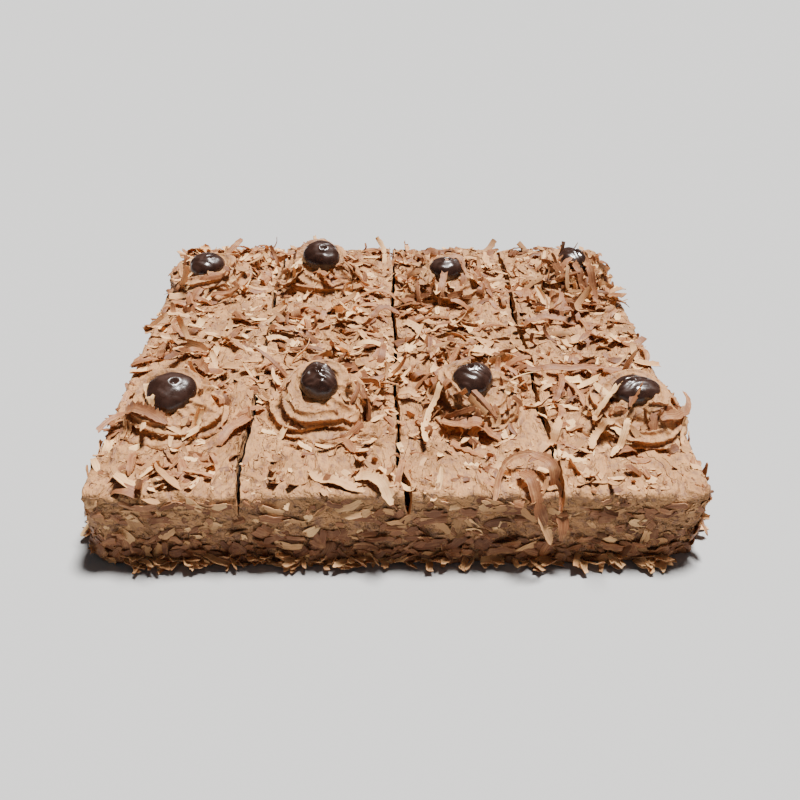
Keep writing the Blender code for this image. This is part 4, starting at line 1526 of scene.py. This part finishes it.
class CAKE_OT_coats(bpy.types.Operator):
    """Spread the cream coat over every portion"""

    bl_idname = "cake.coats"
    bl_label = "Coats"

    def execute(self, context):
        settings = context.scene.cake_cream
        colours = (tuple(settings.colour), tuple(settings.smear))
        material = cream_material("spread_cream", *colours, (0, 0, 0.5), 1.0)
        for portion in PORTIONS:
            mesh = cut_away(coat_shape(portion), room_cutter(portion))
            mesh.name = f"{portion.name}_coat"
            show_mesh(mesh.name, mesh, material, "cream", f"{portion.name}_cream")
        return {"FINISHED"}


class CAKE_OT_swirls(bpy.types.Operator):
    """Pipe a swirl on every portion"""

    bl_idname = "cake.swirls"
    bl_label = "Swirls"

    def execute(self, context):
        settings = context.scene.cake_cream
        colours = (tuple(settings.colour), tuple(settings.smear))
        material = cream_material("piped_cream", *colours, (0, 0, 1.1), 0.40)
        for portion in PORTIONS:
            rope = bpy.data.objects.new("rope", mesh_of("rope", swirl_shape(portion)))
            bpy.context.scene.collection.objects.link(rope)
            modifier = rope.modifiers.new("blend", "REMESH")
            modifier.mode = "VOXEL"
            modifier.voxel_size = SWIRL_VOXEL
            blended = worked(applied(rope), portion.seed)
            bpy.data.objects.remove(rope, do_unlink=True)
            blended.name = f"{portion.name}_rosette"
            show_mesh(blended.name, blended, material, "swirl_cream", f"{portion.name}_swirl")
        return {"FINISHED"}


class CAKE_OT_drops(bpy.types.Operator):
    """Set a ganache drop on every swirl"""

    bl_idname = "cake.drops"
    bl_label = "Drops"

    def execute(self, context):
        material = ganache_material("wet_ganache", tuple(context.scene.cake_ganache.colour))
        for portion in PORTIONS:
            mesh = mesh_of(f"{portion.name}_drop", drop_shape(portion))
            show_mesh(mesh.name, mesh, material, "ganache", f"{portion.name}_ganache")
        return {"FINISHED"}


# Shavings on the top: kind, share of the count, then seed, shapes, lengths, widths, curls, hooks,
# raggedness and cells along
TOP_KINDS = (
    ("crumb", 4.0, 4, 12, (0.0015, 0.0040), (0.0010, 0.0026), (0.0, 0.5), (0.0, 0.6), 0.6, 2),
    ("bit", 2.0, 5, 20, (0.0040, 0.0100), (0.0022, 0.0048), (0.0, 1.0), (0.3, 1.8), 0.5, 4),
    ("broad", 1.0, 6, 30, (0.009, 0.021), (0.0034, 0.0066), (0.2, 1.5), (0.6, 3.0), 0.55, 9),
    ("slender", 0.75, 7, 26, (0.014, 0.028), (0.0020, 0.0038), (0.4, 2.4), (0.6, 3.6), 0.45, 11),
)


class CAKE_OT_top_shavings(bpy.types.Operator):
    """Strew shavings over the top and the swirls, each resting on what is below it"""

    bl_idname = "cake.top_shavings"
    bl_label = "Shavings on top"

    def execute(self, context):
        settings = context.scene.cake_shavings
        names = [f"{portion.name}_{kind}" for portion in PORTIONS for kind in ("coat", "rosette", "drop")]
        bed = Bed(
            Matrix.Identity(4), HALF_WIDTH - 0.001, -HALF_DEPTH + 0.001, HALF_DEPTH - 0.001,
            tree_of_pieces(names), SLAB_HEIGHT,
        )
        rng = random.Random(TOP_SEED)
        manner = Manner(pitch=0.12, roll=0.20, perky=0.26, sunk=0.24, climb=0.0014)
        material = shaving_finish(context)
        for label, share, *shape in TOP_KINDS:
            heap = Heap(f"top_{label}_shavings")
            cover = chip_cover if label in ("crumb", "bit") else top_cover
            number = int(settings.top_count * share)
            laid = strew(heap, bed, ribbon_kit(*shape), cover, number, rng, manner)
            if laid == 0:
                raise RuntimeError(f"no {label} shaving could be laid")
            heap.show(material)
        heap = Heap("long_curls")
        for width, brown, lean, way in CURLS:
            curl = Curl(width, brown, lean, way, bed, rng)
            heap.add(curl.corners, curl, rng.uniform(0.35, 0.9), rng)
        heap.show(material)
        return {"FINISHED"}


# Flakes on the sides and about the foot, as on the top
SIDE_KINDS = (
    (8, 16, (0.0030, 0.0085), (0.0018, 0.0042), (0.0, 0.7), (0.2, 1.2), 0.5, 4),
    (9, 16, (0.007, 0.014), (0.0028, 0.0052), (0.0, 0.7), (0.3, 1.5), 0.45, 5),
    (10, 16, (0.0070, 0.0145), (0.0022, 0.0050), (0.0, 0.8), (0.2, 1.0), 0.5, 4),
)


class CAKE_OT_side_flakes(bpy.types.Operator):
    """Stick flakes to the outer sides, most of them along the foot"""

    bl_idname = "cake.side_flakes"
    bl_label = "Flakes on the sides"

    def execute(self, context):
        settings = context.scene.cake_shavings
        names = [f"{portion.name}_coat" for portion in PORTIONS]
        tree = tree_of_pieces(names)
        small, broad, spikes = (ribbon_kit(*shape) for shape in SIDE_KINDS)
        manner = Manner(pitch=0.09, roll=0.14, perky=0.13, sunk=0.27, climb=0.0010, on_side=True)
        material = shaving_finish(context)
        for number, (side, (seat, half)) in enumerate(side_seats().items()):
            rng = random.Random(SIDE_SEED + number)
            bed = Bed(seat, half, 0.0, SLAB_HEIGHT - 0.002, tree, 0.0)
            heap = Heap(f"{side}_side_flakes")
            count = settings.side_count
            strew(heap, bed, small, side_cover, count * 2, rng, manner)
            strew(heap, bed, broad, side_cover, count, rng, manner)
            fringe(heap, seat, half, spikes, count * 2 // 3, rng)
            heap.show(material)
        return {"FINISHED"}


class CAKE_OT_stage(bpy.types.Operator):
    """Lay the floor and place the lights and the camera"""

    bl_idname = "cake.stage"
    bl_label = "Stage"

    def execute(self, context):
        sheet = bmesh.new()
        bmesh.ops.create_grid(sheet, x_segments=2, y_segments=2, size=FLOOR_HALF)
        mesh = mesh_of("floor", sheet)
        mesh.materials.append(floor_material("pale_floor", FLOOR_COLOUR))
        floor = bpy.data.objects.new("floor", mesh)
        context.scene.collection.objects.link(floor)
        for light in LIGHTS:
            add_light(*light)
        world = bpy.data.worlds.new("plain_light")
        world.use_nodes = True
        background = world.node_tree.nodes["Background"]
        background.inputs["Color"].default_value = WORLD_COLOUR
        background.inputs["Strength"].default_value = WORLD_STRENGTH
        context.scene.world = world
        lens = bpy.data.cameras.new("camera")
        lens.lens = LENS
        lens.sensor_width = SENSOR_WIDTH
        lens.clip_start = NEAR_CLIP
        camera = bpy.data.objects.new("camera", lens)
        camera.location = CAMERA_PLACE
        camera.rotation_euler = [math.radians(part) for part in CAMERA_TURN]
        context.scene.collection.objects.link(camera)
        context.scene.camera = camera
        return {"FINISHED"}


STEPS = (
    CAKE_OT_sponges,
    CAKE_OT_coats,
    CAKE_OT_swirls,
    CAKE_OT_drops,
    CAKE_OT_top_shavings,
    CAKE_OT_side_flakes,
    CAKE_OT_stage,
)


class CAKE_PT_panel(bpy.types.Panel):
    """The cake's settings and steps"""

    bl_label = "Opera cake"
    bl_idname = "CAKE_PT_panel"
    bl_space_type = "VIEW_3D"
    bl_region_type = "UI"
    bl_category = "Cake"

    def draw(self, context):
        scene = context.scene
        for settings, names in (
            (scene.cake_cream, ("colour", "smear")),
            (scene.cake_shavings, ("pale", "brown", "top_count", "side_count")),
            (scene.cake_ganache, ("colour",)),
            (scene.cake_sponge, ("colour",)),
        ):
            for name in names:
                self.layout.prop(settings, name)
        for step in STEPS:
            self.layout.operator(step.bl_idname)


SETTINGS = {
    "cake_cream": CakeCream,
    "cake_shavings": CakeShavings,
    "cake_ganache": CakeGanache,
    "cake_sponge": CakeSponge,
}


def register():
    for group in SETTINGS.values():
        bpy.utils.register_class(group)
    for step in STEPS:
        bpy.utils.register_class(step)
    bpy.utils.register_class(CAKE_PT_panel)
    for name, group in SETTINGS.items():
        setattr(bpy.types.Scene, name, bpy.props.PointerProperty(type=group))


def unregister():
    for name in SETTINGS:
        delattr(bpy.types.Scene, name)
    bpy.utils.unregister_class(CAKE_PT_panel)
    for step in reversed(STEPS):
        bpy.utils.unregister_class(step)
    for group in SETTINGS.values():
        bpy.utils.unregister_class(group)


def main():
    register()
    for step in STEPS:
        group, name = step.bl_idname.split(".")
        getattr(getattr(bpy.ops, group), name)()


if __name__ == "__main__":
    main()
